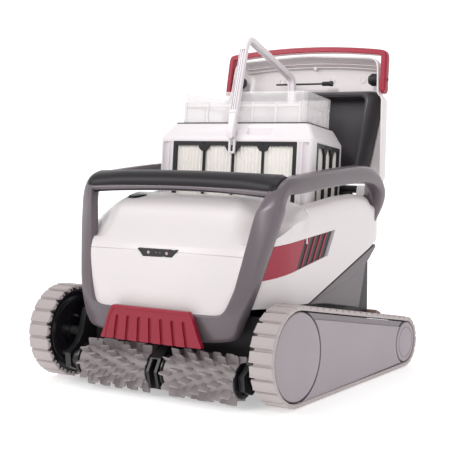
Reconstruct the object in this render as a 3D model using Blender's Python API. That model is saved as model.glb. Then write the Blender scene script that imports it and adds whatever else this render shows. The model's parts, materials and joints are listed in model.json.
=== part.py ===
"""Tracked pool cleaner with an open lid and a lifted filter basket.

Metres, +Z up, front towards -Y, left is -X. The ground is Z = 0. Every part hangs under the empty
"cleaner", which stands below the front axle: positions in this file count Y from that axle.
The lid is built closed, round its hinge line, and its empty turns it open; the basket is built
upright, and its empty lifts and tilts it.
"""
import math

import bmesh
import bpy
from mathutils import Vector

# ---------------------------------------------------------------- driving dimensions
CENTRE_SHIFT_Y = -0.1676        # brings the middle of the whole object to Y = 0
GAP = 0.0003                    # between parts that touch

BELT_OUT_X = 0.2050             # outer and inner edge of a track belt
BELT_IN_X = 0.1694
CLEAT = 0.0034
BELT_THICK = 0.0036
FRONT_R = 0.0605                # inside of the belt on the two wheels
REAR_R = 0.0314
FRONT_Z = FRONT_R + BELT_THICK + CLEAT
REAR_Z = REAR_R + BELT_THICK + CLEAT
REAR_Y = 0.3254
CLEAT_COUNT = 52

BODY_X = 0.165                  # outside of the white side panels
TUB_X = 0.142                   # outside of the chassis tub
BAY_X = 0.1476                  # inside wall of the basket bay
WALL = 0.0025

BRUSH_Y, BRUSH_Z = -0.033, 0.0345
BRUSH_CORE_R, BRUSH_FIN_R = 0.0215, 0.0335
BRUSH_LEFT = (-0.121, -0.004)
BRUSH_RIGHT = (0.025, 0.139)

HINGE_Y, HINGE_Z = 0.333, 0.268
LID_OPEN = math.radians(99.5)
LID_LENGTH = 0.222
LID_DOME = 0.0435
LID_SIDE_X = 0.1538             # the lid stays this narrow at the hinge, between the side bars
FRONT_BOW = 0.0085              # how much further the middle of the lid's front edge reaches
LATCH_U, LATCH_V = 0.174, 0.009
KNUCKLE_X = (0.1372, 0.1492)
HINGE_BORE_R, LATCH_BORE_R = 0.0029, 0.0026

BASKET_Y, BASKET_Z = 0.158, 0.350
BASKET_TILT = math.radians(5.0)
BASKET_FRONT_W, BASKET_REAR_W = 0.136, 0.096
BASKET_DEPTH = 0.163
BASKET_HEIGHT = 0.118
RIM_HEIGHT = 0.021
INNER_RISE = 0.069
HANDLE_PIVOT_Z = 0.006


# ---------------------------------------------------------------- helpers
def clear_scene():
    for old in list(bpy.data.objects):
        bpy.data.objects.remove(old, do_unlink=True)


def material(name, colour, roughness, metallic=0.0, alpha=1.0):
    mat = bpy.data.materials.new(name)
    mat.use_nodes = True
    shader = mat.node_tree.nodes["Principled BSDF"]
    shader.inputs["Base Color"].default_value = (*colour, 1.0)
    shader.inputs["Roughness"].default_value = roughness
    shader.inputs["Metallic"].default_value = metallic
    shader.inputs["Alpha"].default_value = alpha
    return mat


def empty(name, place=(0, 0, 0), turn=(0, 0, 0), parent=None):
    obj = bpy.data.objects.new(name, None)
    obj.location = place
    obj.rotation_euler = turn
    obj.parent = parent
    bpy.context.scene.collection.objects.link(obj)
    return obj


def finish_object(name, bm, mat, parent, origin, smooth_angle=30.0):
    """Turn a bmesh into an object whose origin is at `origin` of its parent's space."""
    bmesh.ops.recalc_face_normals(bm, faces=bm.faces)
    bmesh.ops.translate(bm, verts=bm.verts, vec=-Vector(origin))
    mesh = bpy.data.meshes.new(name)
    bm.to_mesh(mesh)
    bm.free()
    obj = bpy.data.objects.new(name, mesh)
    obj.location = origin
    obj.parent = parent
    if mat:
        mesh.materials.append(mat)
    mesh.shade_smooth()
    mesh.set_sharp_from_angle(angle=math.radians(smooth_angle))
    bpy.context.scene.collection.objects.link(obj)
    return obj


def loft(name, rings, mat, parent, origin=(0, 0, 0), wrap=False):
    """Skin a row of equally long closed rings; wrap joins the last ring to the first."""
    bm = bmesh.new()
    rows = [[bm.verts.new(point) for point in ring] for ring in rings]
    count = len(rows[0])
    pairs = list(zip(rows, rows[1:])) + ([(rows[-1], rows[0])] if wrap else [])
    for row, following in pairs:
        for i in range(count):
            j = (i + 1) % count
            bm.faces.new((row[i], row[j], following[j], following[i]))
    if not wrap:
        bm.faces.new(rows[0])
        bm.faces.new(rows[-1])
    return finish_object(name, bm, mat, parent, origin)


def sheet(name, rows, mat, parent, thickness, origin=(0, 0, 0), closed=False, flip=False):
    """A grid of points given thickness by Solidify; closed joins each row's end to its start."""
    bm = bmesh.new()
    grid = [[bm.verts.new(point) for point in row] for row in rows]
    count = len(grid[0])
    for row, following in zip(grid, grid[1:]):
        for i in range(count if closed else count - 1):
            j = (i + 1) % count
            face = (row[i], row[j], following[j], following[i])
            bm.faces.new(face if flip else face[::-1])
    bmesh.ops.translate(bm, verts=bm.verts, vec=-Vector(origin))
    mesh = bpy.data.meshes.new(name)
    bm.to_mesh(mesh)
    bm.free()
    obj = bpy.data.objects.new(name, mesh)
    obj.location = origin
    obj.parent = parent
    mesh.materials.append(mat)
    mesh.shade_smooth()
    bpy.context.scene.collection.objects.link(obj)
    solid = obj.modifiers.new("thickness", "SOLIDIFY")
    solid.thickness = thickness
    solid.offset = -1.0
    return obj


def along(axis, position, a, b):
    """A point at `position` on the axis, with the two other coordinates in X, Y, Z order."""
    return {"x": (position, a, b), "y": (a, position, b), "z": (a, b, position)}[axis]


def prism(name, outline, axis, low, high, mat, parent, origin=(0, 0, 0)):
    rings = [[along(axis, level, a, b) for a, b in outline] for level in (low, high)]
    return loft(name, rings, mat, parent, origin)


def block(name, low, high, mat, parent, origin=(0, 0, 0)):
    outline = [(low[0], low[1]), (high[0], low[1]), (high[0], high[1]), (low[0], high[1])]
    return prism(name, outline, "z", low[2], high[2], mat, parent, origin)


def circle(radius, count, centre=(0.0, 0.0), start=0.0):
    return [(centre[0] + radius * math.cos(start + math.tau * i / count),
             centre[1] + radius * math.sin(start + math.tau * i / count)) for i in range(count)]


def turned(name, profile, axis, centre, mat, parent, count=32, wrap=False, origin=None):
    """Revolve (position, radius) pairs about an axis; wrap closes the profile round a bore."""
    rings = [[along(axis, position, a, b) for a, b in circle(radius, count, centre)]
             for position, radius in profile]
    return loft(name, rings, mat, parent, origin or along(axis, 0.0, *centre), wrap)


def boolean(obj, cutter, operation="DIFFERENCE", solver="EXACT"):
    cutter.hide_render = True
    cutter.display_type = "WIRE"
    modifier = obj.modifiers.new(cutter.name, "BOOLEAN")
    modifier.operation = operation
    modifier.solver = solver
    modifier.object = cutter


def join_boxes(name, boxes, parent):
    """One cutter made of several separate boxes."""
    bm = bmesh.new()
    for low, high in boxes:
        made = bmesh.ops.create_cube(bm, size=1.0)["verts"]
        size = [h - l for l, h in zip(low, high)]
        middle = [(h + l) / 2 for l, h in zip(low, high)]
        bmesh.ops.scale(bm, vec=size, verts=made)
        bmesh.ops.translate(bm, vec=middle, verts=made)
    return finish_object(name, bm, None, parent, (0, 0, 0))


def mix(a, b, t):
    return a + (b - a) * t


def steps(low, high, count):
    return [mix(low, high, i / count) for i in range(count + 1)]


def through(knots, value):
    """Straight-line interpolation through (value, result) knots."""
    for (v0, r0), (v1, r1) in zip(knots, knots[1:]):
        if value <= v1:
            break
    t = min(max((value - v0) / (v1 - v0), 0.0), 1.0)
    return mix(r0, r1, t)


# ---------------------------------------------------------------- tracks
def track_shape():
    """Angles of the two straight runs' normals, and the gap between the wheels."""
    distance = math.hypot(REAR_Y, FRONT_Z - REAR_Z)
    slope = math.atan2(REAR_Z - FRONT_Z, REAR_Y)
    lean = math.asin((FRONT_R - REAR_R) / distance)
    return slope - lean + math.pi / 2, slope + lean - math.pi / 2, distance * math.cos(lean)


def track_point(fraction, offset):
    """A point of the belt's loop, `offset` outside the wheels, clockwise from the front top."""
    top, bottom, run = track_shape()
    rear_arc = (REAR_R + BELT_THICK / 2) * (top - bottom)
    front_arc = (FRONT_R + BELT_THICK / 2) * (math.tau - top + bottom)
    length = 2 * run + rear_arc + front_arc
    way = (fraction % 1.0) * length
    if way < run:
        angle, t = top, way / run
    elif way < run + rear_arc:
        angle, t = mix(top, bottom, (way - run) / rear_arc), 1.0
    elif way < 2 * run + rear_arc:
        angle, t = bottom, 1.0 - (way - run - rear_arc) / run
    else:
        angle, t = mix(bottom, top - math.tau, (way - 2 * run - rear_arc) / front_arc), 0.0
    reach = mix(FRONT_R, REAR_R, t) + offset
    return (mix(0.0, REAR_Y, t) + reach * math.cos(angle),
            mix(FRONT_Z, REAR_Z, t) + reach * math.sin(angle))


def make_belt(name, side, mat, parent):
    profile = ((0.0, 1.0), (0.80, 1.0), (0.90, 0.0))
    outer, inner = [], []
    for cleat in range(CLEAT_COUNT):
        for part, height in profile:
            fraction = (cleat + part) / CLEAT_COUNT
            outer.append(track_point(fraction, BELT_THICK + CLEAT * height))
            inner.append(track_point(fraction, 0.0))
    low, high = side * BELT_IN_X, side * BELT_OUT_X
    rings = [[(x, y, z) for y, z in outline]
             for x, outline in ((low, outer), (high, outer), (high, inner), (low, inner))]
    loft(name, rings, mat, parent, (side * (BELT_IN_X + BELT_OUT_X) / 2, 0, FRONT_Z), wrap=True)


def cover_outline(clearance):
    """Between the two wheels and the belt's straight runs: concave ends, straight long edges."""
    top, bottom, _ = track_shape()
    outline = []
    ends = (((REAR_Y, REAR_Z), REAR_R, top, math.tau + bottom, 9),
            ((0.0, FRONT_Z), FRONT_R, bottom, top, 13))
    for centre, radius, first, last, count in ends:
        # the concave end starts where it is `clearance` inside the belt
        back = math.acos((radius - clearance) / (radius + clearance))
        reach = radius + clearance
        outline += [(centre[0] + reach * math.cos(a), centre[1] + reach * math.sin(a))
                    for a in steps(first + back, last - back, count)]
    return outline


def make_track(label, side, mats, root):
    make_belt(f"track_belt_{label}", side, mats["belt"], root)

    front = empty(f"drive_{label}_axis", (0, 0, FRONT_Z), parent=root)
    rim, hub = FRONT_R - 0.0009, 0.013
    profile = [(0.1720, rim), (0.1985, rim), (0.1985, 0.0072), (0.1740, 0.0072), (0.1740, hub),
               (0.1880, 0.018), (0.1880, 0.030), (0.1780, rim - 0.008), (0.1720, rim - 0.004)]
    profile = [(side * x, r) for x, r in profile]
    turned(f"drive_wheel_{label}", profile, "x", (0, 0), mats["black"], front, 28, wrap=True)
    cap = [(0.1988, rim - 0.001), (0.2025, rim - 0.001), (0.2035, rim - 0.002)]
    turned(f"wheel_cap_{label}", [(side * x, r) for x, r in cap], "x", (0, 0), mats["cover"], front, 28)
    axle = [(side * (TUB_X + 0.0102), 0.0069), (side * 0.1960, 0.0069)]
    turned(f"front_axle_{label}", axle, "x", (0, FRONT_Z), mats["metal"], root, 16)

    rear = empty(f"idler_{label}_axis", (0, REAR_Y, REAR_Z), parent=root)
    rim = REAR_R - 0.0015
    profile = [(0.1720, rim), (0.2025, rim), (0.2035, rim - 0.001), (0.2035, 0.0205),
               (0.2030, 0.0200), (0.2030, 0.0195), (0.2035, 0.0190), (0.2035, 0.0052),
               (0.1720, 0.0052)]
    profile = [(side * x, r) for x, r in profile]
    turned(f"idler_wheel_{label}", profile, "x", (0, 0), mats["cover"], rear, 24, wrap=True)
    pin = [(side * (TUB_X + GAP), 0.0049), (side * 0.2032, 0.0049)]
    turned(f"rear_axle_{label}", pin, "x", (REAR_Y, REAR_Z), mats["metal"], root, 12)

    thick, thin = cover_outline(0.0008), cover_outline(0.0070)
    levels = ((0.1660, thin), (0.1960, thin), (0.1960, thick), (0.2030, thick))
    rings = [[(side * x, y, z) for y, z in outline] for x, outline in levels]
    loft(f"side_cover_{label}", rings, mats["cover"], root)


# ---------------------------------------------------------------- lower body
def make_chassis(mats, root):
    outline = [(0.010, 0.055), (0.028, 0.020), (0.304, 0.020), (0.3365, 0.028), (0.3365, 0.050),
               (0.318, 0.070), (0.318, 0.186), (0.296, 0.186), (0.096, 0.118), (0.010, 0.112)]
    chassis = prism("chassis", outline, "x", -TUB_X, TUB_X, mats["dark"], root)
    hollow = [(0.013, 0.056), (0.0296, 0.023), (0.3035, 0.023), (0.3335, 0.030), (0.3335, 0.049),
              (0.315, 0.069), (0.315, 0.30), (0.013, 0.30)]
    inside = TUB_X - 0.003
    boolean(chassis, prism("tub_hollow", hollow, "x", -inside, inside, None, root))
    slots = [((side * 0.062 - 0.046, 0.150, 0.010), (side * 0.062 + 0.046, 0.172, 0.030))
             for side in (-1, 1)]
    boolean(chassis, join_boxes("suction_slots", slots, root))

    for label, side in (("left", -1), ("right", 1)):
        hinge = empty(f"flap_{label}_axis", (side * 0.062, 0.1770, 0.0250), parent=root)
        block(f"intake_flap_{label}", (-0.049, -0.028, -0.0016), (0.049, 0.001, 0.0004),
              mats["rubber"], hinge)

        panel = [(0.104, 0.1195), (0.150, 0.1130), (0.253, 0.0960), (0.277, 0.1660),
                 (0.301, 0.1840), (0.300, 0.1875)]
        low, high = side * (TUB_X + 0.0010), side * (BODY_X - 0.0015)
        prism(f"lower_side_{label}", panel, "x", low, high, mats["grey"], root)

        arm = [(0.050, 0.110), (0.050, 0.045), (-0.010, 0.024), (-0.030, 0.0165), (-0.047, 0.024),
               (-0.049, 0.044), (-0.030, 0.056), (-0.020, 0.070), (-0.010, 0.104)]
        low, high = side * (TUB_X + GAP), side * (TUB_X + 0.0099)
        bracket = prism(f"brush_bracket_{label}", arm, "x", low, high, mats["black"], root)
        bore = prism(f"bracket_bore_{label}", circle(0.0053, 16, (BRUSH_Y, BRUSH_Z)), "x",
                     side * 0.130, side * 0.170, None, root)
        boolean(bracket, bore)


# ---------------------------------------------------------------- brushes
def finned_roll(name, start, end, lean, mat, parent):
    """A roll with rows of flat fins; each column of fins is turned a little on the last."""
    rows, columns = 9, 4
    root_half, tip_half, bore = math.radians(4.2), math.radians(1.8), 0.0055
    width = (end - start) / columns
    rings = []

    def ring(x, phase, tip):
        points = []
        for row in range(rows):
            middle = phase + math.tau * row / rows
            for angle, radius in ((-root_half, BRUSH_CORE_R), (-tip_half, tip),
                                  (tip_half, tip), (root_half, BRUSH_CORE_R)):
                points.append((x, radius * math.cos(middle + angle),
                               radius * math.sin(middle + angle)))
        return points

    for column in range(columns):
        phase = lean * math.radians(10.0) * column
        x0, x1 = start + width * column, start + width * (column + 1)
        for x, tip in ((x0, BRUSH_CORE_R), (x0 + 0.0008, BRUSH_FIN_R),
                       (x1 - 0.0016, BRUSH_FIN_R), (x1 - 0.0008, BRUSH_CORE_R)):
            rings.append(ring(x, phase, tip))
    for x in (rings[-1][0][0], rings[0][0][0]):
        rings.append([(x, bore * y / math.hypot(y, z), bore * z / math.hypot(y, z))
                      for _, y, z in rings[0]])
    return loft(name, rings, mat, parent, wrap=True)


def make_brushes(mats, root):
    axis = empty("brush_axis", (0, BRUSH_Y, BRUSH_Z), parent=root)
    finned_roll("brush_left", *BRUSH_LEFT, 1, mats["brush"], axis)
    finned_roll("brush_right", *BRUSH_RIGHT, -1, mats["brush"], axis)
    shaft_end = TUB_X + 0.0100
    shaft = [(-shaft_end, 0.0049), (-0.1415, 0.0049), (-0.1415, 0.0130), (-0.1290, 0.0130),
             (-0.1290, 0.0200), (-0.1220, 0.0200), (-0.1220, 0.0049), (shaft_end, 0.0049)]
    turned("brush_shaft", shaft, "x", (0, 0), mats["black"], axis, 16)

    arm = [(0.0095, 0.074), (0.0095, 0.060), (-0.012, 0.018), (-0.031, 0.007), (-0.052, 0.012),
           (-0.058, 0.036), (-0.048, 0.053), (-0.020, 0.074)]
    hanger = prism("brush_hanger", arm, "x", 0.000, 0.018, mats["black"], root)
    boolean(hanger, prism("hanger_bore", circle(0.0055, 16, (BRUSH_Y, BRUSH_Z)), "x",
                          -0.010, 0.030, None, root))
    boolean(hanger, join_boxes("hanger_slot", [((0.0045, -0.080, -0.005), (0.0135, -0.005, 0.052))],
                               root))


# ---------------------------------------------------------------- upper body
def side_bottom(y):
    return through(((-0.030, 0.131), (0.093, 0.1225), (0.300, 0.1915), (0.308, 0.197)), y)


def side_crease(y):
    return through(((-0.030, 0.205), (0.009, 0.208), (0.308, 0.238)), y)


def shoulder_top(y):
    return through(((0.060, 0.253), (0.100, 0.257), (0.178, 0.2645), (0.238, 0.2670),
                    (0.279, 0.2600), (0.300, 0.249)), y)


def shell_stations():
    """Cross-sections of the white shell from the front middle to the rear middle, right side.

    Each is bottom edge, crease, shoulder, its top, lip of the basket bay, foot of the bay's wall.
    """
    hidden = 0.170
    stations = []
    for x in (0.0, 0.090):
        stations.append([(x, 0.056, hidden), (x, 0.056, 0.215), (x, 0.060, 0.246),
                         (x, 0.070, 0.251), (x, 0.0930, 0.251), (x, 0.0900, 0.205)])
    stations.append([(BODY_X, -0.020, 0.131), (BODY_X, 0.012, 0.2085), (0.1600, 0.030, 0.2200),
                     (0.1500, 0.060, 0.2400), (0.138, 0.0930, 0.248), (0.138, 0.0900, 0.205)])
    for y in (0.065, 0.100, 0.150, 0.212, 0.260):
        inner_y, top = max(y, 0.0960), shoulder_top(y)
        stations.append([(BODY_X, y, side_bottom(y)), (BODY_X, y, side_crease(y)),
                         (0.1605, y, top - 0.013), (0.1535, y, top),
                         (BAY_X, inner_y, top - 0.010), (BAY_X, inner_y, 0.205)])
    for x, y, bay_x, bay_y in ((0.1645, 0.296, BAY_X, 0.296), (0.158, 0.318, 0.141, 0.3170),
                               (0.135, 0.327, 0.118, 0.3210), (0.0, 0.3275, 0.0, 0.3215)):
        stations.append([(x, y, max(side_bottom(min(y, 0.308)), 0.190)), (x, y, 0.234),
                         (mix(bay_x, x, 0.9), mix(bay_y, y, 0.9), 0.242),
                         (mix(bay_x, x, 0.5), mix(bay_y, y, 0.5), 0.246),
                         (bay_x, bay_y, 0.244), (bay_x, bay_y, 0.215)])
    return stations


def make_shell(mats, root):
    right = shell_stations()
    left = [[(-x, y, z) for x, y, z in station] for station in right[-2:0:-1]]
    loop = right + left
    rows = [[station[k] for station in loop] for k in range(6)]
    shell = sheet("body_shell", rows, mats["white"], root, WALL, closed=True, flip=True)

    for label, side in (("left", -1), ("right", 1)):
        opening = [(0.022, 0.2065), (0.170, 0.2200), (0.148, 0.1840), (0.004, 0.1640)]
        window = prism(f"vent_opening_{label}", opening, "x", side * 0.150, side * 0.180, None, root)
        boolean(shell, window)
        inset = [(0.0225, 0.2060), (0.1692, 0.2193), (0.1477, 0.1846), (0.0045, 0.1646)]
        vent = prism(f"side_vent_{label}", inset, "x", side * 0.1600, side * 0.1640, mats["red"], root)
        boolean(vent, vent_slots(label, side, root))

    for label, side in (("left", -1), ("right", 1)):
        ends = sorted((side * 0.117, side * 0.135))
        outline = [(0.3222, 0.235), (0.3290, 0.235), (0.3395, HINGE_Z), (0.3365, HINGE_Z + 0.0055),
                   (0.3295, HINGE_Z + 0.0055), (0.3262, HINGE_Z)]
        lug = prism(f"hinge_lug_{label}", outline, "x", *ends, None, root)
        boolean(shell, lug, "UNION")
        bore = prism(f"lug_bore_{label}", circle(0.0029, 12, (HINGE_Y, HINGE_Z)), "x",
                     side * 0.105, side * 0.1360, None, root)
        boolean(shell, bore)
        ends = [(side * 0.1100, 0.0026), (side * 0.1500, 0.0026)]
        turned(f"hinge_pin_{label}", ends, "x", (HINGE_Y, HINGE_Z), mats["metal"], root, 12)


def vent_slots(label, side, root):
    """Four slanted slots between the red slats."""
    bm = bmesh.new()
    for slot in range(4):
        foot = 0.066 + 0.0195 * slot
        outline = [(foot, 0.1795 + 0.0026 * slot), (foot + 0.0115, 0.1810 + 0.0026 * slot),
                   (foot + 0.0330, 0.2085 + 0.0016 * slot), (foot + 0.0215, 0.2075 + 0.0016 * slot)]
        rows = [[bm.verts.new((side * x, y, z)) for y, z in outline] for x in (0.155, 0.170)]
        for i in range(4):
            j = (i + 1) % 4
            bm.faces.new((rows[0][i], rows[0][j], rows[1][j], rows[1][i]))
        bm.faces.new(rows[0])
        bm.faces.new(rows[1])
    return finish_object(f"vent_slots_{label}", bm, None, root, (0, 0, 0))


HOOD_ROWS = (  # height in the middle, height at the edge, half width, Y at the edge, Y in the middle
    (0.1172, 0.1230, 0.1118, -0.0340, -0.0390), (0.1400, 0.1400, 0.1170, -0.0303, -0.0340),
    (0.1700, 0.1700, 0.1225, -0.0236, -0.0272), (0.1970, 0.1970, 0.1275, -0.0175, -0.0212),
    (0.2100, 0.2100, 0.1298, -0.0146, -0.0140), (0.2250, 0.2250, 0.1325, 0.0030, -0.0020),
    (0.2410, 0.2410, 0.1400, 0.0400, 0.0150), (0.2540, 0.2540, 0.1320, 0.0600, 0.0330),
    (0.2630, 0.2630, 0.1200, 0.0800, 0.0580), (0.2660, 0.2660, 0.1150, 0.0925, 0.0925))


def make_hood(mats, root):
    rows = []
    for z_middle, z_edge, width, edge, middle in HOOD_ROWS:
        rows.append([(width * t, mix(middle, edge, t * t), mix(z_middle, z_edge, t ** 6))
                     for t in steps(-1.0, 1.0, 10)])
    hood = sheet("front_hood", rows, mats["white"], root, WALL, flip=True)

    plate = [(-0.028, 0.1985), (0.028, 0.1985), (0.0215, 0.1900), (-0.0215, 0.1900)]
    cut = [(x * 1.02, z + (0.0004 if z > 0.195 else -0.0004)) for x, z in plate]
    boolean(hood, prism("display_opening", cut, "y", -0.040, 0.000, None, root))
    display = prism("display_panel", plate, "y", -0.0238, -0.0200, mats["gloss_black"], root)
    bm = bmesh.new()
    for x in (-0.0165, 0.0145):
        rows = [[bm.verts.new((x + a, y, 0.1940 + b)) for a, b in circle(0.0026, 12)]
                for y in (-0.030, -0.010)]
        for i in range(12):
            j = (i + 1) % 12
            bm.faces.new((rows[0][i], rows[0][j], rows[1][j], rows[1][i]))
        bm.faces.new(rows[0])
        bm.faces.new(rows[1])
    boolean(display, finish_object("button_holes", bm, None, root, (0, 0, 0)))
    for name, x in (("button_power", 0.0145), ("button_mode", -0.0165)):
        press = empty(f"{name}_axis", (x, -0.0220, 0.1940), parent=root)
        turned(name, [(-0.0024, 0.0022), (0.0010, 0.0022)], "y", (0, 0), mats["cover"], press, 12)


FRAME_STATIONS = (  # outer edge of the front face, inner edge, both X, Y, Z
    ((0.1700, 0.0120, 0.2600), (0.1400, -0.0025, 0.2600)),
    ((0.1687, 0.0087, 0.2508), (0.1385, -0.0050, 0.2500)),
    ((0.1632, -0.0005, 0.2225), (0.1333, -0.0113, 0.2225)),
    ((0.1570, -0.0089, 0.1945), (0.1287, -0.0171, 0.1945)),
    ((0.1524, -0.0151, 0.1733), (0.1245, -0.0224, 0.1733)),
    ((0.1411, -0.0265, 0.1292), (0.1175, -0.0312, 0.1340)),
    ((0.1316, -0.0304, 0.1042), (0.1130, -0.0350, 0.1220)),
    ((0.1150, -0.0320, 0.0860), (0.1040, -0.0372, 0.1166)),
    ((0.0950, -0.0330, 0.0790), (0.0900, -0.0385, 0.1164)),
    ((0.0000, -0.0365, 0.0770), (0.0000, -0.0415, 0.1164)))
FRAME_DEPTH = 0.0180


def make_frame(mats, root):
    sections = []
    for outer, inner in FRAME_STATIONS:
        back = [(x, y + FRAME_DEPTH, z) for x, y, z in (inner, outer)]
        sections.append([outer, inner, *back])
    left = [[(-x, y, z) for x, y, z in section] for section in sections[-2::-1]]
    loft("front_frame", sections + left, mats["grey"], root)

    path = (  # middle of the bar, then its width and height
        (0.1560, 0.0140, 0.2680, 0.0260, 0.0140), (0.1620, 0.0230, 0.2820, 0.0250, 0.0200),
        (0.1640, 0.0420, 0.2900, 0.0230, 0.0240), (0.1640, 0.0700, 0.2930, 0.0210, 0.0250),
        (0.1635, 0.1500, 0.2955, 0.0200, 0.0250), (0.1630, 0.2300, 0.2965, 0.0200, 0.0250),
        (0.1635, 0.2700, 0.2920, 0.0200, 0.0250), (0.1645, 0.3000, 0.2790, 0.0200, 0.0230),
        (0.1655, 0.3170, 0.2580, 0.0200, 0.0200), (0.1660, 0.3230, 0.2350, 0.0140, 0.0130),
        (0.1662, 0.3240, 0.2050, 0.0100, 0.0100))
    for label, side in (("left", -1), ("right", 1)):
        points = [Vector((side * x, y, z)) for x, y, z, _, _ in path]
        rings = []
        for i, (_, _, _, width, height) in enumerate(path):
            ahead = (points[min(i + 1, len(points) - 1)] - points[max(i - 1, 0)]).normalized()
            across = Vector((side, 0, 0))
            up = across.cross(ahead).normalized() * side
            across = ahead.cross(up).normalized() * side
            ring = []
            for a, b in ((0.5, -0.3), (0.5, 0.25), (0.3, 0.5), (-0.3, 0.5), (-0.5, 0.25),
                         (-0.5, -0.3), (-0.35, -0.5), (0.35, -0.5)):
                ring.append(points[i] + across * (a * width) + up * (b * height))
            rings.append(ring)
        loft(f"side_bar_{label}", rings, mats["grey"], root)

    grip = []
    for x in (-0.1428, -0.1300, -0.0950, -0.0500, 0.0, 0.0500, 0.0950, 0.1300, 0.1428):
        bow = (x / 0.1428) ** 2
        y, z = mix(0.0290, 0.0220, bow), mix(0.2905, 0.2860, bow)
        half_y, half_z = mix(0.0140, 0.0125, bow), mix(0.0135, 0.0110, bow)
        grip.append([(x, y + half_y * a, z + half_z * b) for a, b in
                     ((-1.0, -0.35), (-0.75, 0.35), (-0.1, 0.85), (0.6, 1.0), (1.0, 0.6),
                      (0.9, -0.4), (0.2, -1.0), (-0.7, -1.0))])
    loft("grip_pad", grip, mats["soft_dark"], root)

    face = [(-0.0870, 0.0725), (0.0870, 0.0725), (0.0690, 0.1150), (0.0650, 0.1205),
            (-0.0650, 0.1205), (-0.0690, 0.1150)]
    grille = prism("front_grille", face, "y", -0.0500, -0.0425, mats["red"], root)
    grooves = [((x - 0.0020, -0.0600, 0.0690), (x + 0.0020, -0.0480, 0.1060))
               for x in steps(-0.0600, 0.0600, 6)]
    boolean(grille, join_boxes("grille_grooves", grooves, root))


# ---------------------------------------------------------------- works inside the body
def make_works(mats, root):
    outline = [(-0.060, 0.030), (0.060, 0.030), (0.072, 0.042), (0.072, 0.076), (0.060, 0.088),
               (-0.060, 0.088), (-0.072, 0.076), (-0.072, 0.042)]
    prism("motor_unit", outline, "z", 0.0305, 0.1300, mats["black"], root)
    spin = empty("impeller_axis", (0, 0.059, 0.130), parent=root)
    hub_r, blade_r = 0.010, 0.026
    blades, ring = 5, []
    for blade in range(blades):
        for offset, radius in ((0.00, hub_r), (0.22, blade_r), (0.34, blade_r), (0.30, hub_r)):
            angle = math.tau * blade / blades + offset
            ring.append((radius * math.cos(angle), radius * math.sin(angle)))
    prism("impeller", ring, "z", 0.0006, 0.0240, mats["soft_dark"], spin)
    gland = [(0.3184, 0.012), (0.3230, 0.012), (0.3230, 0.008), (0.3330, 0.006)]
    turned("cable_gland", gland, "y", (-0.090, 0.150), mats["black"], root, 16)


# ---------------------------------------------------------------- lid, built closed
def lid_half_width(u):
    return min(LID_SIDE_X, 0.1585 - 0.09 * u)


def dome(across, along_share):
    """Height share of a flat-topped dome; both arguments run from -1 to 1."""
    return math.sqrt(max(0.0, (1 - across ** 4) * (1 - along_share ** 4)))


def lid_grid(near, far, width_of, height, count_u, count_x):
    """Rows of points from the hinge forwards; u counts from the hinge line along the lid."""
    rows = []
    for i in range(count_u + 1):
        share_u = -math.cos(math.pi * i / count_u)
        row = []
        for j in range(count_x + 1):
            share_x = -math.cos(math.pi * j / count_x)
            u = mix(near, far - FRONT_BOW * share_x ** 2, (share_u + 1) / 2)
            row.append((width_of(u) * share_x, -u, height * dome(share_x, share_u)))
        rows.append(row)
    return rows


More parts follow.
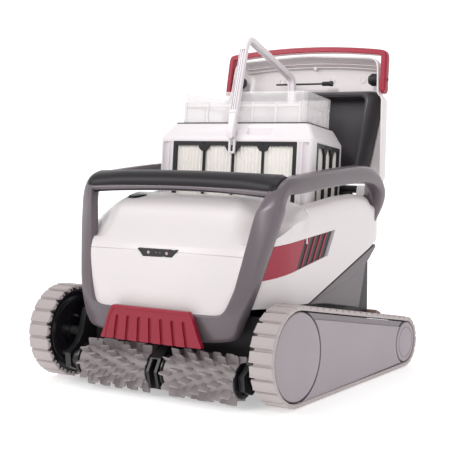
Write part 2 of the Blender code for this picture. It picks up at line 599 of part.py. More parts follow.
def make_lid(mats, root):
    hinge = empty("lid_hinge_axis", (0, HINGE_Y, HINGE_Z), (-LID_OPEN, 0, 0), root)
    shell = sheet("lid_shell", lid_grid(0.0090, LID_LENGTH, lid_half_width, LID_DOME, 10, 12),
                  mats["white"], hinge, WALL)
    for label, side in (("left", -1), ("right", 1)):
        ends = sorted((side * KNUCKLE_X[0], side * KNUCKLE_X[1]))
        arm = [(0.0062 * math.cos(a), 0.0062 * math.sin(a)) for a in steps(-0.3, math.pi, 8)]
        arm += [(-0.0150, 0.0045), (-0.0150, 0.0005), (-0.0050, -0.0040), (0.0030, -0.0052)]
        knuckle = prism(f"lid_knuckle_{label}", arm, "x", *ends, None, hinge)
        boolean(shell, knuckle, "UNION", "MANIFOLD")
        bore = prism(f"knuckle_bore_{label}", circle(HINGE_BORE_R, 12), "x", side * 0.1360,
                     side * 0.1520, None, hinge)
        boolean(shell, bore, solver="MANIFOLD")
        bore = prism(f"latch_bore_{label}", circle(LATCH_BORE_R, 12, (-LATCH_U, LATCH_V)), "x",
                     side * 0.1330, side * 0.1600, None, hinge)
        boolean(shell, bore, solver="MANIFOLD")

    grid = lid_grid(0.0240, 0.1620, lambda u: lid_half_width(u) - 0.0085, 0.0385, 10, 10)
    grid = [[(x * (1.028 if j in (0, len(row) - 1) else 1.0), y, z) for j, (x, y, z) in enumerate(row)]
            for row in grid]
    sheet("lid_liner", grid, mats["gloss_black"], hinge, 0.0015)

    arm = [(0.1476, 0.1640), (0.1457, 0.1800), (0.1441, 0.2010), (0.1445, 0.2130)]
    front = [(x, LID_LENGTH + 0.0050 - FRONT_BOW * (x / 0.139) ** 2)
             for x in (0.1340, 0.1000, 0.0500, 0.0)]
    path = [Vector((x, -u, 0.0)) for x, u in arm + front]
    path += [Vector((-p.x, p.y, 0.0)) for p in path[-2::-1]]
    rings = []
    for i, point in enumerate(path):
        ahead = (path[min(i + 1, len(path) - 1)] - path[max(i - 1, 0)]).normalized()
        outward = Vector((-ahead.y, ahead.x, 0.0))
        rings.append([point + outward * a + Vector((0, 0, v)) for a, v in
                      ((-0.0020, -0.0004), (0.0020, -0.0004), (0.0020, 0.0140), (-0.0020, 0.0140))])
    latch = loft("lid_latch", rings, mats["red"], hinge, (0, -LATCH_U, LATCH_V))
    for label, side in (("left", -1), ("right", 1)):
        hole = prism(f"arm_bore_{label}", circle(LATCH_BORE_R, 12, (-LATCH_U, LATCH_V)), "x",
                     side * 0.1300, side * 0.1600, None, hinge)
        boolean(latch, hole)
        pivot = [(side * 0.1180, 0.0074), (side * 0.1310, 0.0074), (side * 0.1310, 0.0022),
                 (side * 0.1478, 0.0022)]
        turned(f"latch_pivot_{label}", pivot, "x", (-LATCH_U, LATCH_V), mats["black"], hinge, 16)

    rod = [(-0.052, 0.0015), (0.034, 0.0015), (0.034, 0.0034), (0.048, 0.0034), (0.048, 0.0045),
           (0.052, 0.0045)]
    turned("lid_rod", rod, "x", (-0.1690, 0.0060), mats["black"], hinge, 12)


# ---------------------------------------------------------------- basket, built upright
def basket_plan(inset, z):
    """The basket's outline at height z, moved inwards by `inset`: wide in front, narrow behind."""
    front, rear = inset, BASKET_DEPTH - inset
    widths = [mix(BASKET_FRONT_W, BASKET_REAR_W, y / BASKET_DEPTH) - 1.03 * inset
              for y in (front, rear)]
    return [(-widths[0], front, z), (widths[0], front, z), (widths[1], rear, z),
            (-widths[1], rear, z)]


def pleats(half_width, count):
    """Outline of a pleated sheet seen from above."""
    crest, valley, thick = 0.0036, 0.0080, 0.0018
    xs = steps(-half_width, half_width, 2 * count)
    front = [(x, crest if i % 2 else valley) for i, x in enumerate(xs)]
    return front + [(x, y + thick) for x, y in reversed(front)]


def make_panel(label, place, yaw, half_width, cells, mats, basket, frame):
    """One filter panel: an open black frame and the pleated sheet behind it."""
    spot = empty(f"panel_{label}_place", place, (0, 0, yaw), basket)
    low, high = -0.1105, -0.0065
    window = block(f"panel_window_{label}", (-half_width, -0.010, low), (half_width, 0.016, high),
                   None, spot)
    boolean(frame, window)
    edge = half_width - 0.0003
    plate = block(f"filter_frame_{label}", (-edge, -0.0010, low + 0.0003),
                  (edge, 0.0030, high - 0.0003), mats["black"], spot)
    pitch = 2 * (edge - 0.0045) / cells
    boxes = []
    for cell in range(cells):
        x = -edge + 0.0045 + pitch * (cell + 0.5)
        half = pitch / 2 - 0.0016
        boxes.append(((x - half, -0.010, low + 0.0055), (x + half, 0.010, high - 0.0065)))
    boolean(plate, join_boxes(f"panel_cells_{label}", boxes, spot))
    outline = pleats(edge - 0.0010, cells * 4)
    prism(f"filter_media_{label}", outline, "z", low + 0.0010, high - 0.0010, mats["cream"], spot)


def make_basket(mats, root):
    basket = empty("basket_axis", (0, BASKET_Y, BASKET_Z), (-BASKET_TILT, 0, 0), root)
    floor = -BASKET_HEIGHT
    rings = [basket_plan(0.0, floor), basket_plan(0.0, 0.0), basket_plan(0.0135, RIM_HEIGHT),
             basket_plan(0.0180, RIM_HEIGHT), basket_plan(0.0112, -0.003),
             basket_plan(0.0112, floor + 0.004)]
    frame = loft("basket_frame", rings, mats["lilac_white"], basket)
    side_yaw = math.pi / 2 + math.atan((BASKET_FRONT_W - BASKET_REAR_W) / BASKET_DEPTH)
    side_x = (BASKET_FRONT_W + BASKET_REAR_W) / 2
    make_panel("front", (0, 0, 0), 0.0, 0.109, 4, mats, basket, frame)
    make_panel("rear", (0, BASKET_DEPTH, 0), math.pi, 0.072, 3, mats, basket, frame)
    make_panel("right", (side_x, BASKET_DEPTH / 2, 0), side_yaw, 0.064, 3, mats, basket, frame)
    make_panel("left", (-side_x, BASKET_DEPTH / 2, 0), -side_yaw, 0.064, 3, mats, basket, frame)

    seal = [basket_plan(0.0150, RIM_HEIGHT + GAP), basket_plan(0.0150, RIM_HEIGHT + 0.0022),
            basket_plan(0.0178, RIM_HEIGHT + 0.0022), basket_plan(0.0178, RIM_HEIGHT + GAP)]
    loft("basket_seal", seal, mats["rubber"], basket, wrap=True)

    lift = empty("inner_basket_axis", parent=basket)
    low = INNER_RISE - 0.120
    rings = [basket_plan(0.0300, low), basket_plan(0.0262, INNER_RISE),
             basket_plan(0.0280, INNER_RISE), basket_plan(0.0318, low + 0.002)]
    loft("inner_basket", rings, mats["clear"], lift)

    pivot = empty("handle_axis", (0, 0, HANDLE_PIVOT_Z), parent=basket)
    path = [(-0.0068, -0.0070), (-0.0068, 0.0), (0.0225, 0.1270), (0.0260, 0.1370),
            (0.0330, 0.1425), (0.0420, 0.1410), (0.1500, 0.1020), (0.1565, 0.0970),
            (0.1585, 0.0890), (0.1700, 0.0), (0.1705, -0.0070)]
    rings = []
    for i, (y, z) in enumerate(path):
        before, after = path[max(i - 1, 0)], path[min(i + 1, len(path) - 1)]
        length = math.hypot(after[0] - before[0], after[1] - before[1])
        out_y, out_z = -(after[1] - before[1]) / length, (after[0] - before[0]) / length
        half_x = 0.0068 if i in (0, 1, len(path) - 2, len(path) - 1) else 0.0058
        rings.append([(a * half_x, y + b * out_y, z + b * out_z) for a, b in
                      ((-1, -0.0042), (1, -0.0042), (1, 0.0035), (0.75, 0.0042), (-0.75, 0.0042),
                       (-1, 0.0035))])
    handle = loft("basket_handle", rings, mats["lilac_white"], pivot)
    for label, ends in (("front", (-0.0040, 0.0105)), ("rear", (BASKET_DEPTH - 0.0105,
                                                              BASKET_DEPTH + 0.0045))):
        pin = prism(f"handle_pin_{label}", circle(0.0024, 12), "y", *ends, None, pivot)
        boolean(handle, pin, "UNION")
        hole = (ends[0] - 0.0120, ends[1] + 0.0120)
        socket = prism(f"handle_socket_{label}", circle(0.0028, 12), "y", *hole, None, pivot)
        boolean(frame, socket)


def make_materials():
    return {
        "white": material("warm_white_plastic", (0.83, 0.80, 0.79), 0.32),
        "lilac_white": material("basket_white_plastic", (0.82, 0.79, 0.82), 0.35),
        "grey": material("grey_plastic", (0.25, 0.22, 0.24), 0.38),
        "cover": material("cover_grey_plastic", (0.36, 0.32, 0.35), 0.42),
        "dark": material("dark_plastic", (0.035, 0.032, 0.035), 0.5),
        "soft_dark": material("grip_rubber", (0.045, 0.038, 0.042), 0.45),
        "black": material("black_plastic", (0.012, 0.011, 0.012), 0.35),
        "gloss_black": material("gloss_black_plastic", (0.014, 0.012, 0.014), 0.15),
        "red": material("red_plastic", (0.42, 0.020, 0.055), 0.28),
        "belt": material("belt_rubber", (0.53, 0.49, 0.48), 0.6),
        "brush": material("brush_pvc", (0.27, 0.24, 0.25), 0.5),
        "rubber": material("seal_rubber", (0.015, 0.015, 0.016), 0.7),
        "cream": material("filter_fleece", (0.80, 0.76, 0.70), 0.9),
        "clear": material("clear_plastic", (0.90, 0.90, 0.92), 0.12, alpha=0.45),
        "metal": material("steel", (0.60, 0.60, 0.62), 0.3, metallic=1.0),
    }


def main():
    clear_scene()
    mats = make_materials()
    root = empty("cleaner", (0, CENTRE_SHIFT_Y, 0))
    for label, side in (("left", -1), ("right", 1)):
        make_track(label, side, mats, root)
    make_chassis(mats, root)
    make_brushes(mats, root)
    make_shell(mats, root)
    make_hood(mats, root)
    make_frame(mats, root)
    make_works(mats, root)
    make_lid(mats, root)
    make_basket(mats, root)


main()
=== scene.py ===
import json
import math

import bmesh
import bpy
from mathutils import Matrix, Vector

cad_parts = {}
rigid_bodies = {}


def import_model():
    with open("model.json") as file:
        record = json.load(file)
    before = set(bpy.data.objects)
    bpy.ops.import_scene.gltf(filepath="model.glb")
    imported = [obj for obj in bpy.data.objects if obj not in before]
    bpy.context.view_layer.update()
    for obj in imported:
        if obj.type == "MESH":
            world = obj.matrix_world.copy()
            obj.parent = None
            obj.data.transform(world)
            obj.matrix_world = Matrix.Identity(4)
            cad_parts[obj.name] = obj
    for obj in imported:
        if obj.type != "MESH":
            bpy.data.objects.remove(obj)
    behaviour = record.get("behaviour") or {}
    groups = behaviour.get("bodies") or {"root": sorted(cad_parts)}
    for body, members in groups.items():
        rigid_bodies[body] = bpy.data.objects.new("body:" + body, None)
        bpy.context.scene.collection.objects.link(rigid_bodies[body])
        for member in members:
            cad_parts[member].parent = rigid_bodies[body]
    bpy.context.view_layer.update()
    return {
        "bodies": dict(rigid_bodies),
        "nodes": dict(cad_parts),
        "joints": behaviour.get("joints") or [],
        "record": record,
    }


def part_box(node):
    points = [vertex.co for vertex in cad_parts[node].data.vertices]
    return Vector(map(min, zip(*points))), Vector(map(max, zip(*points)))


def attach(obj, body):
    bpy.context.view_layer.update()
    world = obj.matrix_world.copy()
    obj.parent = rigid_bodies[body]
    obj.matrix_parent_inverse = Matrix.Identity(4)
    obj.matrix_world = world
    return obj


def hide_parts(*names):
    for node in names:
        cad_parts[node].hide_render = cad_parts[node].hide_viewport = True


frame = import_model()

# ---------------------------------------------------------------- places taken from the frame
wheel_low, wheel_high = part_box("drive_wheel_right")
AXLE_Y = (wheel_low[1] + wheel_high[1]) / 2
FRONT_Z = (wheel_low[2] + wheel_high[2]) / 2
idler_low, idler_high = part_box("idler_wheel_right")
REAR_Y = (idler_low[1] + idler_high[1]) / 2 - AXLE_Y
REAR_Z = (idler_low[2] + idler_high[2]) / 2
joints = {joint["name"]: joint for joint in frame["joints"]}
HINGE = Vector(joints["lid_hinge"]["pos_m"])
BASE = Matrix.Translation((0, AXLE_Y, 0))
LID = Matrix.Translation(HINGE) @ Matrix.Rotation(math.radians(-99.5), 4, "X")
BASKET = BASE @ Matrix.Translation((0, 0.158, 0.35)) @ Matrix.Rotation(math.radians(-5.0), 4, "X")
SIDES = (("left", -1), ("right", 1))

BODY_X = 0.165                  # outside of the white side panels
BAY_X = 0.1476                  # inside wall of the basket bay
BELT_OUT_X, BELT_IN_X = 0.205, 0.1694
BELT_THICK, CLEAT = 0.0036, 0.0034
FRONT_R = FRONT_Z - BELT_THICK - CLEAT
REAR_R = REAR_Z - BELT_THICK - CLEAT
CLEAT_COUNT = 52


# ---------------------------------------------------------------- shape helpers
def mix(a, b, t):
    return a + (b - a) * t


def steps(low, high, count):
    return [mix(low, high, i / count) for i in range(count + 1)]


def smoothstep(low, high, value):
    t = min(max((value - low) / (high - low), 0.0), 1.0)
    return t * t * (3 - 2 * t)


def through(knots, value):
    """Straight-line interpolation through (value, result) knots."""
    for (v0, r0), (v1, r1) in zip(knots, knots[1:]):
        if value <= v1:
            break
    t = min(max((value - v0) / (v1 - v0), 0.0), 1.0)
    return mix(r0, r1, t)


def curve(points, per_span):
    """A smooth (Catmull-Rom) path through tuples of any length."""
    path = []
    last = len(points) - 1
    for i in range(last):
        around = (points[max(i - 1, 0)], points[i], points[i + 1], points[min(i + 2, last)])
        for k in range(per_span):
            t = k / per_span
            path.append(tuple(0.5 * (2 * b + (c - a) * t + (2 * a - 5 * b + 4 * c - d) * t * t
                                     + (3 * b - a - 3 * c + d) * t ** 3)
                              for a, b, c, d in zip(*around)))
    path.append(tuple(points[-1]))
    return path


def arc(centre, radius, first, last, count):
    """Points of an arc in a plane; angles in degrees."""
    return [(centre[0] + radius * math.cos(math.radians(a)),
             centre[1] + radius * math.sin(math.radians(a))) for a in steps(first, last, count)]


def bend(before, corner, after, radius, count):
    """The smooth bend that takes the place of a corner."""
    before, corner, after = Vector(before), Vector(corner), Vector(after)
    reach = min(radius, (before - corner).length * 0.45, (after - corner).length * 0.45)
    start = corner + (before - corner).normalized() * reach
    end = corner + (after - corner).normalized() * reach
    return [tuple(start * (1 - t) ** 2 + corner * 2 * t * (1 - t) + end * t * t)
            for t in steps(0.0, 1.0, count)]


def rounded(outline, radius, count=4):
    """A closed plane outline with its corners rounded."""
    result = []
    for i, corner in enumerate(outline):
        result += bend(outline[i - 1], corner, outline[(i + 1) % len(outline)], radius, count)
    return result


def rounded_path(points, radius=0.01, count=6):
    """An open path with its corners rounded."""
    result = [points[0]]
    for before, corner, after in zip(points, points[1:], points[2:]):
        result += bend(before, corner, after, radius, count)
    return result + [points[-1]]


def heading(path, i):
    """Unit direction of a plane path at its point i."""
    before, after = path[max(i - 1, 0)], path[min(i + 1, len(path) - 1)]
    length = math.dist(before, after)
    return (after[0] - before[0]) / length, (after[1] - before[1]) / length


def join_rows(bm, row, following, closed=True):
    """A strip of faces between two rows of vertices."""
    count = len(row)
    for i in range(count if closed else count - 1):
        j = (i + 1) % count
        bm.faces.new((row[i], row[j], following[j], following[i]))


def skin(rows, closed=True, wrap=False, bm=None):
    """Faces between rows of points, in bm or in a new mesh, which it returns. Closed joins each row's
    ends and caps the first and last row; wrap joins the last row to the first instead of capping."""
    if bm is None:
        bm = bmesh.new()
    grid = [[bm.verts.new(point) for point in row] for row in rows]
    for row, following in list(zip(grid, grid[1:])) + ([(grid[-1], grid[0])] if wrap else []):
        join_rows(bm, row, following, closed)
    if closed and not wrap:
        bm.faces.new(grid[0])
        bm.faces.new(grid[-1])
    return bm


def along(axis, position, a, b):
    return {"x": (position, a, b), "y": (a, position, b), "z": (a, b, position)}[axis]


def prism(outline, axis, low, high, bm=None):
    return skin([[along(axis, level, a, b) for a, b in outline] for level in (low, high)], bm=bm)


def slab(outline, side, inner_x, outer_x, bm=None):
    """A plate of this Y-Z outline between two distances from the middle, on one side of it."""
    low, high = sorted((side * inner_x, side * outer_x))
    return prism(outline, "x", low, high, bm)


def block(low, high, bm=None):
    corners = [(low[0], low[1]), (high[0], low[1]), (high[0], high[1]), (low[0], high[1])]
    return prism(corners, "z", low[2], high[2], bm)


def circle(radius, count, centre=(0.0, 0.0)):
    return arc(centre, radius, 0, 360 * (count - 1) / count, count - 1)


def turn(profile, axis, centre, count=64, wrap=False, bm=None):
    """Revolve (position, radius) pairs; wrap closes the profile round a bore."""
    rows = [[along(axis, position, a, b) for a, b in circle(radius, count, centre)]
            for position, radius in profile]
    return skin(rows, wrap=wrap, bm=bm)


def put(name, data):
    """A new object in the scene."""
    obj = bpy.data.objects.new(name, data)
    bpy.context.scene.collection.objects.link(obj)
    return obj


def to_object(name, bm, where=Matrix()):
    """An object from a bmesh, with its points moved by where."""
    mesh = bpy.data.meshes.new(name)
    bm.to_mesh(mesh)
    bm.free()
    mesh.transform(where)
    return put(name, mesh)


def piece(name, bm, mat, body="body", stands_for=(), where=BASE, smooth=32.0, bevel=0.0,
          wall=0.0):
    """A finished object from a bmesh: shaded, modified, and riding on its body."""
    bmesh.ops.recalc_face_normals(bm, faces=bm.faces)
    obj = to_object(name, bm, where)
    obj.data.materials.append(mat)
    obj.data.shade_smooth()
    obj.data.set_sharp_from_angle(angle=math.radians(smooth))
    if wall:
        solid = obj.modifiers.new("wall", "SOLIDIFY")
        solid.thickness = wall
        solid.offset = -1.0
    if bevel:
        add_bevel(obj, bevel)
    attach(obj, body)
    if stands_for:
        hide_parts(*stands_for)
    return obj


def add_bevel(obj, width):
    rounding = obj.modifiers.new("edges", "BEVEL")
    rounding.width = width
    rounding.segments = 2
    rounding.limit_method = "ANGLE"
    rounding.angle_limit = math.radians(32)
    rounding.harden_normals = True


def carve(obj, name, bm, where=BASE):
    """Cut a shape out of a piece for good."""
    bmesh.ops.recalc_face_normals(bm, faces=bm.faces)
    cutter = to_object(name, bm, where)
    cut = obj.modifiers.new(name, "BOOLEAN")
    cut.operation = "DIFFERENCE"
    cut.object = cutter
    bpy.context.view_layer.update()
    whole = bpy.data.meshes.new_from_object(obj.evaluated_get(bpy.context.evaluated_depsgraph_get()))
    obj.modifiers.clear()
    obj.data = whole
    bpy.data.objects.remove(cutter, do_unlink=True)
    whole.shade_smooth()
    whole.set_sharp_from_angle(angle=math.radians(32.0))


# ---------------------------------------------------------------- materials
def plastic(name, colour, rough, spread=0.05, grain=0.1, grain_scale=700.0, specular=0.5,
            uneven=0.06):
    """Moulded plastic or rubber: slow colour drift, patchy gloss and a fine mould grain."""
    mat = bpy.data.materials.new(name)
    mat.use_nodes = True
    nodes, links = mat.node_tree.nodes, mat.node_tree.links
    shader = nodes["Principled BSDF"]
    place = nodes.new("ShaderNodeTexCoord")

    def noise(scale, detail):
        texture = nodes.new("ShaderNodeTexNoise")
        texture.inputs["Scale"].default_value = scale
        texture.inputs["Detail"].default_value = detail
        links.new(place.outputs["Object"], texture.inputs["Vector"])
        return texture.outputs["Fac"]

    tone = nodes.new("ShaderNodeValToRGB")
    for stop, position, change in zip(tone.color_ramp.elements, (0.3, 0.7), (-spread, spread)):
        stop.position = position
        stop.color = (*[min(c * (1 + change), 1.0) for c in colour], 1.0)
    links.new(noise(9.0, 4.0), tone.inputs["Fac"])
    links.new(tone.outputs["Color"], shader.inputs["Base Color"])

    gloss = nodes.new("ShaderNodeMapRange")
    gloss.inputs["To Min"].default_value = max(rough - uneven, 0.02)
    gloss.inputs["To Max"].default_value = rough + uneven
    links.new(noise(34.0, 6.0), gloss.inputs["Value"])
    links.new(gloss.outputs["Result"], shader.inputs["Roughness"])

    bump = nodes.new("ShaderNodeBump")
    bump.inputs["Strength"].default_value = grain
    bump.inputs["Distance"].default_value = 0.0004
    links.new(noise(grain_scale, 3.0), bump.inputs["Height"])
    links.new(bump.outputs["Normal"], shader.inputs["Normal"])
    shader.inputs["Specular IOR Level"].default_value = specular
    return mat


def fleece(name, colour):
    """Filter fleece: short vertical fibres and soft blotches."""
    mat = plastic(name, colour, 0.88, spread=0.05, grain=0.35, grain_scale=1400.0, specular=0.15)
    shader = mat.node_tree.nodes["Principled BSDF"]
    shader.inputs["Sheen Weight"].default_value = 0.35
    shader.inputs["Sheen Roughness"].default_value = 0.6
    return mat


def frosted(name, colour, alpha):
    """Thin milky plastic that shows what lies behind it a little."""
    mat = plastic(name, colour, 0.28, spread=0.03, grain=0.05)
    shader = mat.node_tree.nodes["Principled BSDF"]
    shader.inputs["Alpha"].default_value = alpha
    return mat


def steel(name):
    """Turned stainless steel: fine lathe lines round X."""
    mat = plastic(name, (0.6, 0.59, 0.6), 0.28, spread=0.04, grain=0.15, grain_scale=1600.0)
    mat.node_tree.nodes["Principled BSDF"].inputs["Metallic"].default_value = 1.0
    return mat


WHITE = plastic("body_white", (0.8, 0.745, 0.75), 0.3, spread=0.012, grain=0.02, uneven=0.015)
BASKET_WHITE = plastic("basket_white", (0.79, 0.74, 0.765), 0.36, spread=0.015, grain=0.03, uneven=0.02)
GREY = plastic("frame_grey", (0.15, 0.124, 0.138), 0.24, spread=0.03, grain=0.02, uneven=0.01)
COVER = plastic("cover_grey", (0.365, 0.315, 0.345), 0.42, spread=0.03, grain=0.14)
COVER_DARK = plastic("cover_shadow_grey", (0.23, 0.2, 0.22), 0.42, spread=0.04, grain=0.12)
DARK = plastic("chassis_dark", (0.045, 0.041, 0.045), 0.5, spread=0.1, grain=0.3)
GRIP = plastic("grip_soft", (0.018, 0.015, 0.018), 0.36, spread=0.08, grain=0.03, specular=0.26, uneven=0.02)
BLACK = plastic("trim_black", (0.012, 0.011, 0.013), 0.36, spread=0.1, grain=0.14)
GLOSS_BLACK = plastic("gloss_black", (0.012, 0.01, 0.013), 0.2, spread=0.06, grain=0.03, uneven=0.02)
PAD = plastic("pad_black", (0.04, 0.036, 0.042), 0.34, spread=0.06, grain=0.05, uneven=0.03)
RED = plastic("red_plastic", (0.31, 0.006, 0.028), 0.26, spread=0.05, grain=0.04, specular=0.45, uneven=0.03)
VENT_RED = plastic("vent_red", (0.37, 0.04, 0.065), 0.42, spread=0.04, grain=0.08, specular=0.35)
BELT = plastic("belt_rubber", (0.5, 0.44, 0.44), 0.58, spread=0.05, grain=0.22)
BRUSH = plastic("brush_pvc", (0.33, 0.288, 0.292), 0.44, spread=0.1, grain=0.16)
SEAL = plastic("seal_rubber", (0.012, 0.011, 0.012), 0.62, spread=0.1, grain=0.2)
FLEECE = fleece("filter_fleece", (0.97, 0.92, 0.88))
CLEAR = frosted("clear_plastic", (0.93, 0.89, 0.9), 0.55)
FILM = frosted("clear_film", (0.95, 0.91, 0.92), 0.34)
STEEL = steel("steel")
CLAY = plastic("rear_pad", (0.42, 0.25, 0.23), 0.55, spread=0.05, grain=0.1)
LAMP = plastic("lamp_lens", (0.55, 0.4, 0.36), 0.25, spread=0.04, grain=0.02)


# ---------------------------------------------------------------- tracks
def track_shape():
    """Wheel tangent angles, straight run and whole length of the belt's middle line."""
    drop, reach = FRONT_Z - REAR_Z, REAR_Y
    dist = math.hypot(reach, drop)
    slope, lean = math.atan2(-drop, reach), math.asin((FRONT_R - REAR_R) / dist)
    top, bottom = slope - lean + math.pi / 2, slope + lean - math.pi / 2
    run = dist * math.cos(lean)
    rear_arc = (REAR_R + BELT_THICK / 2) * (top - bottom)
    front_arc = (FRONT_R + BELT_THICK / 2) * (math.tau - top + bottom)
    return top, bottom, run, rear_arc, front_arc, 2 * run + rear_arc + front_arc


def track_point(share, offset):
    """Point of the belt loop at this share of its length, offset outwards from the wheels' rims."""
    top, bottom, run, rear_arc, front_arc, whole = track_shape()
    way = (share % 1.0) * whole
    if way < run:
        angle, t = top, way / run
    elif way < run + rear_arc:
        angle, t = top + (bottom - top) * (way - run) / rear_arc, 1.0
    elif way < 2 * run + rear_arc:
        angle, t = bottom, 1 - (way - run - rear_arc) / run
    else:
        angle, t = bottom + (top - math.tau - bottom) * (way - 2 * run - rear_arc) / front_arc, 0.0
    radius = mix(FRONT_R, REAR_R, t) + offset
    return REAR_Y * t + radius * math.cos(angle), mix(FRONT_Z, REAR_Z, t) + radius * math.sin(angle)


def belt_stations():
    """(share, kind) round the loop; each cleat has a groove, a flank, a ridge and a flat paddle."""
    per_cleat = ((0.0, "groove"), (0.07, "groove"), (0.12, "ridge"), (0.19, "ridge"),
                 (0.25, "paddle"), (0.84, "paddle"), (0.93, "groove"))
    return [((cleat + step) / CLEAT_COUNT, kind) for cleat in range(CLEAT_COUNT)
            for step, kind in per_cleat]


def belt_section(kind):
    """(x, outward offset) round the belt: inner face first, then back over the tread."""
    base, full = BELT_THICK, BELT_THICK + CLEAT
    crest = {"groove": base - 0.0002, "paddle": full - 0.0009, "ridge": full}[kind]
    bump = {"groove": full - 0.0026, "paddle": full - 0.0004, "ridge": full - 0.0001}[kind]
    inner_x = {"groove": BELT_IN_X + 0.005, "paddle": BELT_IN_X, "ridge": BELT_IN_X}[kind]
    return [(inner_x, 0.0002), (BELT_OUT_X - 0.0028, 0.0002), (BELT_OUT_X - 0.0004, 0.0006),
            (BELT_OUT_X, 0.0016), (BELT_OUT_X, bump - 0.0016), (BELT_OUT_X - 0.0008, bump - 0.0004),
            (BELT_OUT_X - 0.0016, bump), (BELT_OUT_X - 0.0032, bump),
            (BELT_OUT_X - 0.0044, mix(bump, crest, 0.6)), (BELT_OUT_X - 0.0052, crest),
            (inner_x + 0.0014, crest), (inner_x + 0.0004, crest - 0.0005),
            (inner_x, mix(crest, 0.0, 0.35))]


def make_belts():
    for label, side in SIDES:
        rows = [[(side * x, *track_point(share, off)) for x, off in belt_section(kind)]
                for share, kind in belt_stations()]
        bm = skin(rows, wrap=True)
        piece(f"track_belt_{label}_tread", bm, BELT, smooth=28,
              stands_for=(f"track_belt_{label}",))
        rows = []
        for i in range(CLEAT_COUNT * 2):
            for step, reach in ((0.06, 0.0), (0.16, 0.0023), (0.42, 0.0023), (0.52, 0.0)):
                inner_x = side * (BELT_IN_X + 0.0018 - reach)
                outer_x = side * (BELT_IN_X + 0.009)
                share = (i + step) / (CLEAT_COUNT * 2)
                low, high = track_point(share, -0.0012), track_point(share, 0.003)
                rows.append([(inner_x, *low), (outer_x, *low), (outer_x, *high), (inner_x, *high)])
        bm = skin(rows, wrap=True)
        piece(f"track_belt_{label}_teeth", bm, BLACK)


def make_wheels():
    for label, side in SIDES:
        # the driven wheel: a black dish facing inwards, its hub, and the grey cap outside
        rim = FRONT_R - 0.0012
        dish = [(0.1716, rim), (0.1985, rim), (0.1985, 0.008), (0.179, 0.008), (0.179, 0.02),
                (0.177, 0.023), (0.1768, 0.033), (0.1778, 0.04), (0.176, 0.0455),
                (0.1728, 0.05), (0.1716, 0.053), (0.1712, 0.057)]
        bm = turn([(side * x, r) for x, r in dish], "x", (0.0, FRONT_Z), 96, wrap=True)
        piece(f"drive_wheel_{label}_dish", bm, GLOSS_BLACK, f"drive_{label}",
              (f"drive_wheel_{label}",), smooth=24)
        cap = [(0.1988, 0.0), (0.1988, rim - 0.001), (0.2028, rim - 0.001),
               (0.2036, rim - 0.0018), (0.2041, rim - 0.005), (0.2045, 0.03), (0.2047, 0.0)]
        bm = turn([(side * x, max(r, 0.0004)) for x, r in cap], "x", (0.0, FRONT_Z), 96)
        piece(f"wheel_cap_{label}_disc", bm, COVER, f"drive_{label}",
              (f"wheel_cap_{label}",), smooth=24)
        # the idler: spokes behind a flat disc with one ring line
        rim = REAR_R - 0.0016
        disc = [(0.1722, rim), (0.203, rim), (0.2036, rim - 0.0008), (0.2038, 0.0236),
                (0.203, 0.0232), (0.203, 0.0224), (0.2038, 0.022),
                (0.2042, 0.009), (0.2042, 0.0004), (0.2032, 0.0004), (0.2032, 0.0038), (0.1722, 0.0038),
                (0.1722, 0.0086), (0.18, 0.009), (0.18, rim - 0.005), (0.1722, rim - 0.004)]
        bm = turn([(side * x, r) for x, r in disc], "x", (REAR_Y, REAR_Z), 72, wrap=True)
        for k in range(6):
            angle = math.tau * k / 6
            a, b = math.cos(angle), math.sin(angle)
            corners = [(REAR_Y + r * a - w * b, REAR_Z + r * b + w * a)
                       for r, w in ((0.008, -0.0012), (rim - 0.0034, -0.0012),
                                    (rim - 0.0034, 0.0012), (0.008, 0.0012))]
            slab(corners, side, 0.1735, 0.181, bm)
        piece(f"idler_wheel_{label}_disc", bm, COVER, f"idler_{label}",
              (f"idler_wheel_{label}",), smooth=24)


def make_side_covers():
    top, bottom = track_shape()[:2]
    for label, side in SIDES:
        for name, inset, x_out, mat in (("plate", 0.01, 0.2034, COVER),
                                        ("strip", 0.0016, 0.2016, COVER_DARK)):
            outline = []
            reach = FRONT_R + 0.001
            start = math.acos((FRONT_R - inset) / reach)
            for angle in steps(top - start, bottom + 0.03, 30):
                outline.append((reach * math.cos(angle), FRONT_Z + reach * math.sin(angle)))
            reach = REAR_R + 0.0012
            low = math.acos((REAR_R - 0.0016) / reach)
            high = math.acos((REAR_R - inset) / reach)
            for angle in steps(math.tau + bottom - low, top + high, 20):
                outline.append((REAR_Y + reach * math.cos(angle), REAR_Z + reach * math.sin(angle)))
            bm = slab(outline, side, 0.194, x_out)
            stands = (f"side_cover_{label}",) if name == "plate" else ()
            piece(f"side_cover_{label}_{name}", bm, mat, stands_for=stands,
                  bevel=0.0008, smooth=40)
        # backing that closes the wheel well behind the plate
        outline = [track_point(share, -0.003) for share in steps(0.0, 1.0, 60)[:-1]
                   if track_point(share, 0)[0] > 0.02]
        outline = [p for p in outline if p[0] < REAR_Y - 0.02]
        upper = [p for p in outline if p[1] > mix(FRONT_Z, REAR_Z, p[0] / REAR_Y)]
        lower = [p for p in outline if p[1] <= mix(FRONT_Z, REAR_Z, p[0] / REAR_Y)]
        ring = sorted(upper) + sorted(lower, reverse=True)
        bm = slab(ring, side, 0.1695, 0.1708)
        piece(f"track_backing_{label}", bm, DARK)


# ---------------------------------------------------------------- brushes
BRUSH_Y, BRUSH_Z = -0.033, 0.0345
CORE_R, FIN_R = 0.0215, 0.0335


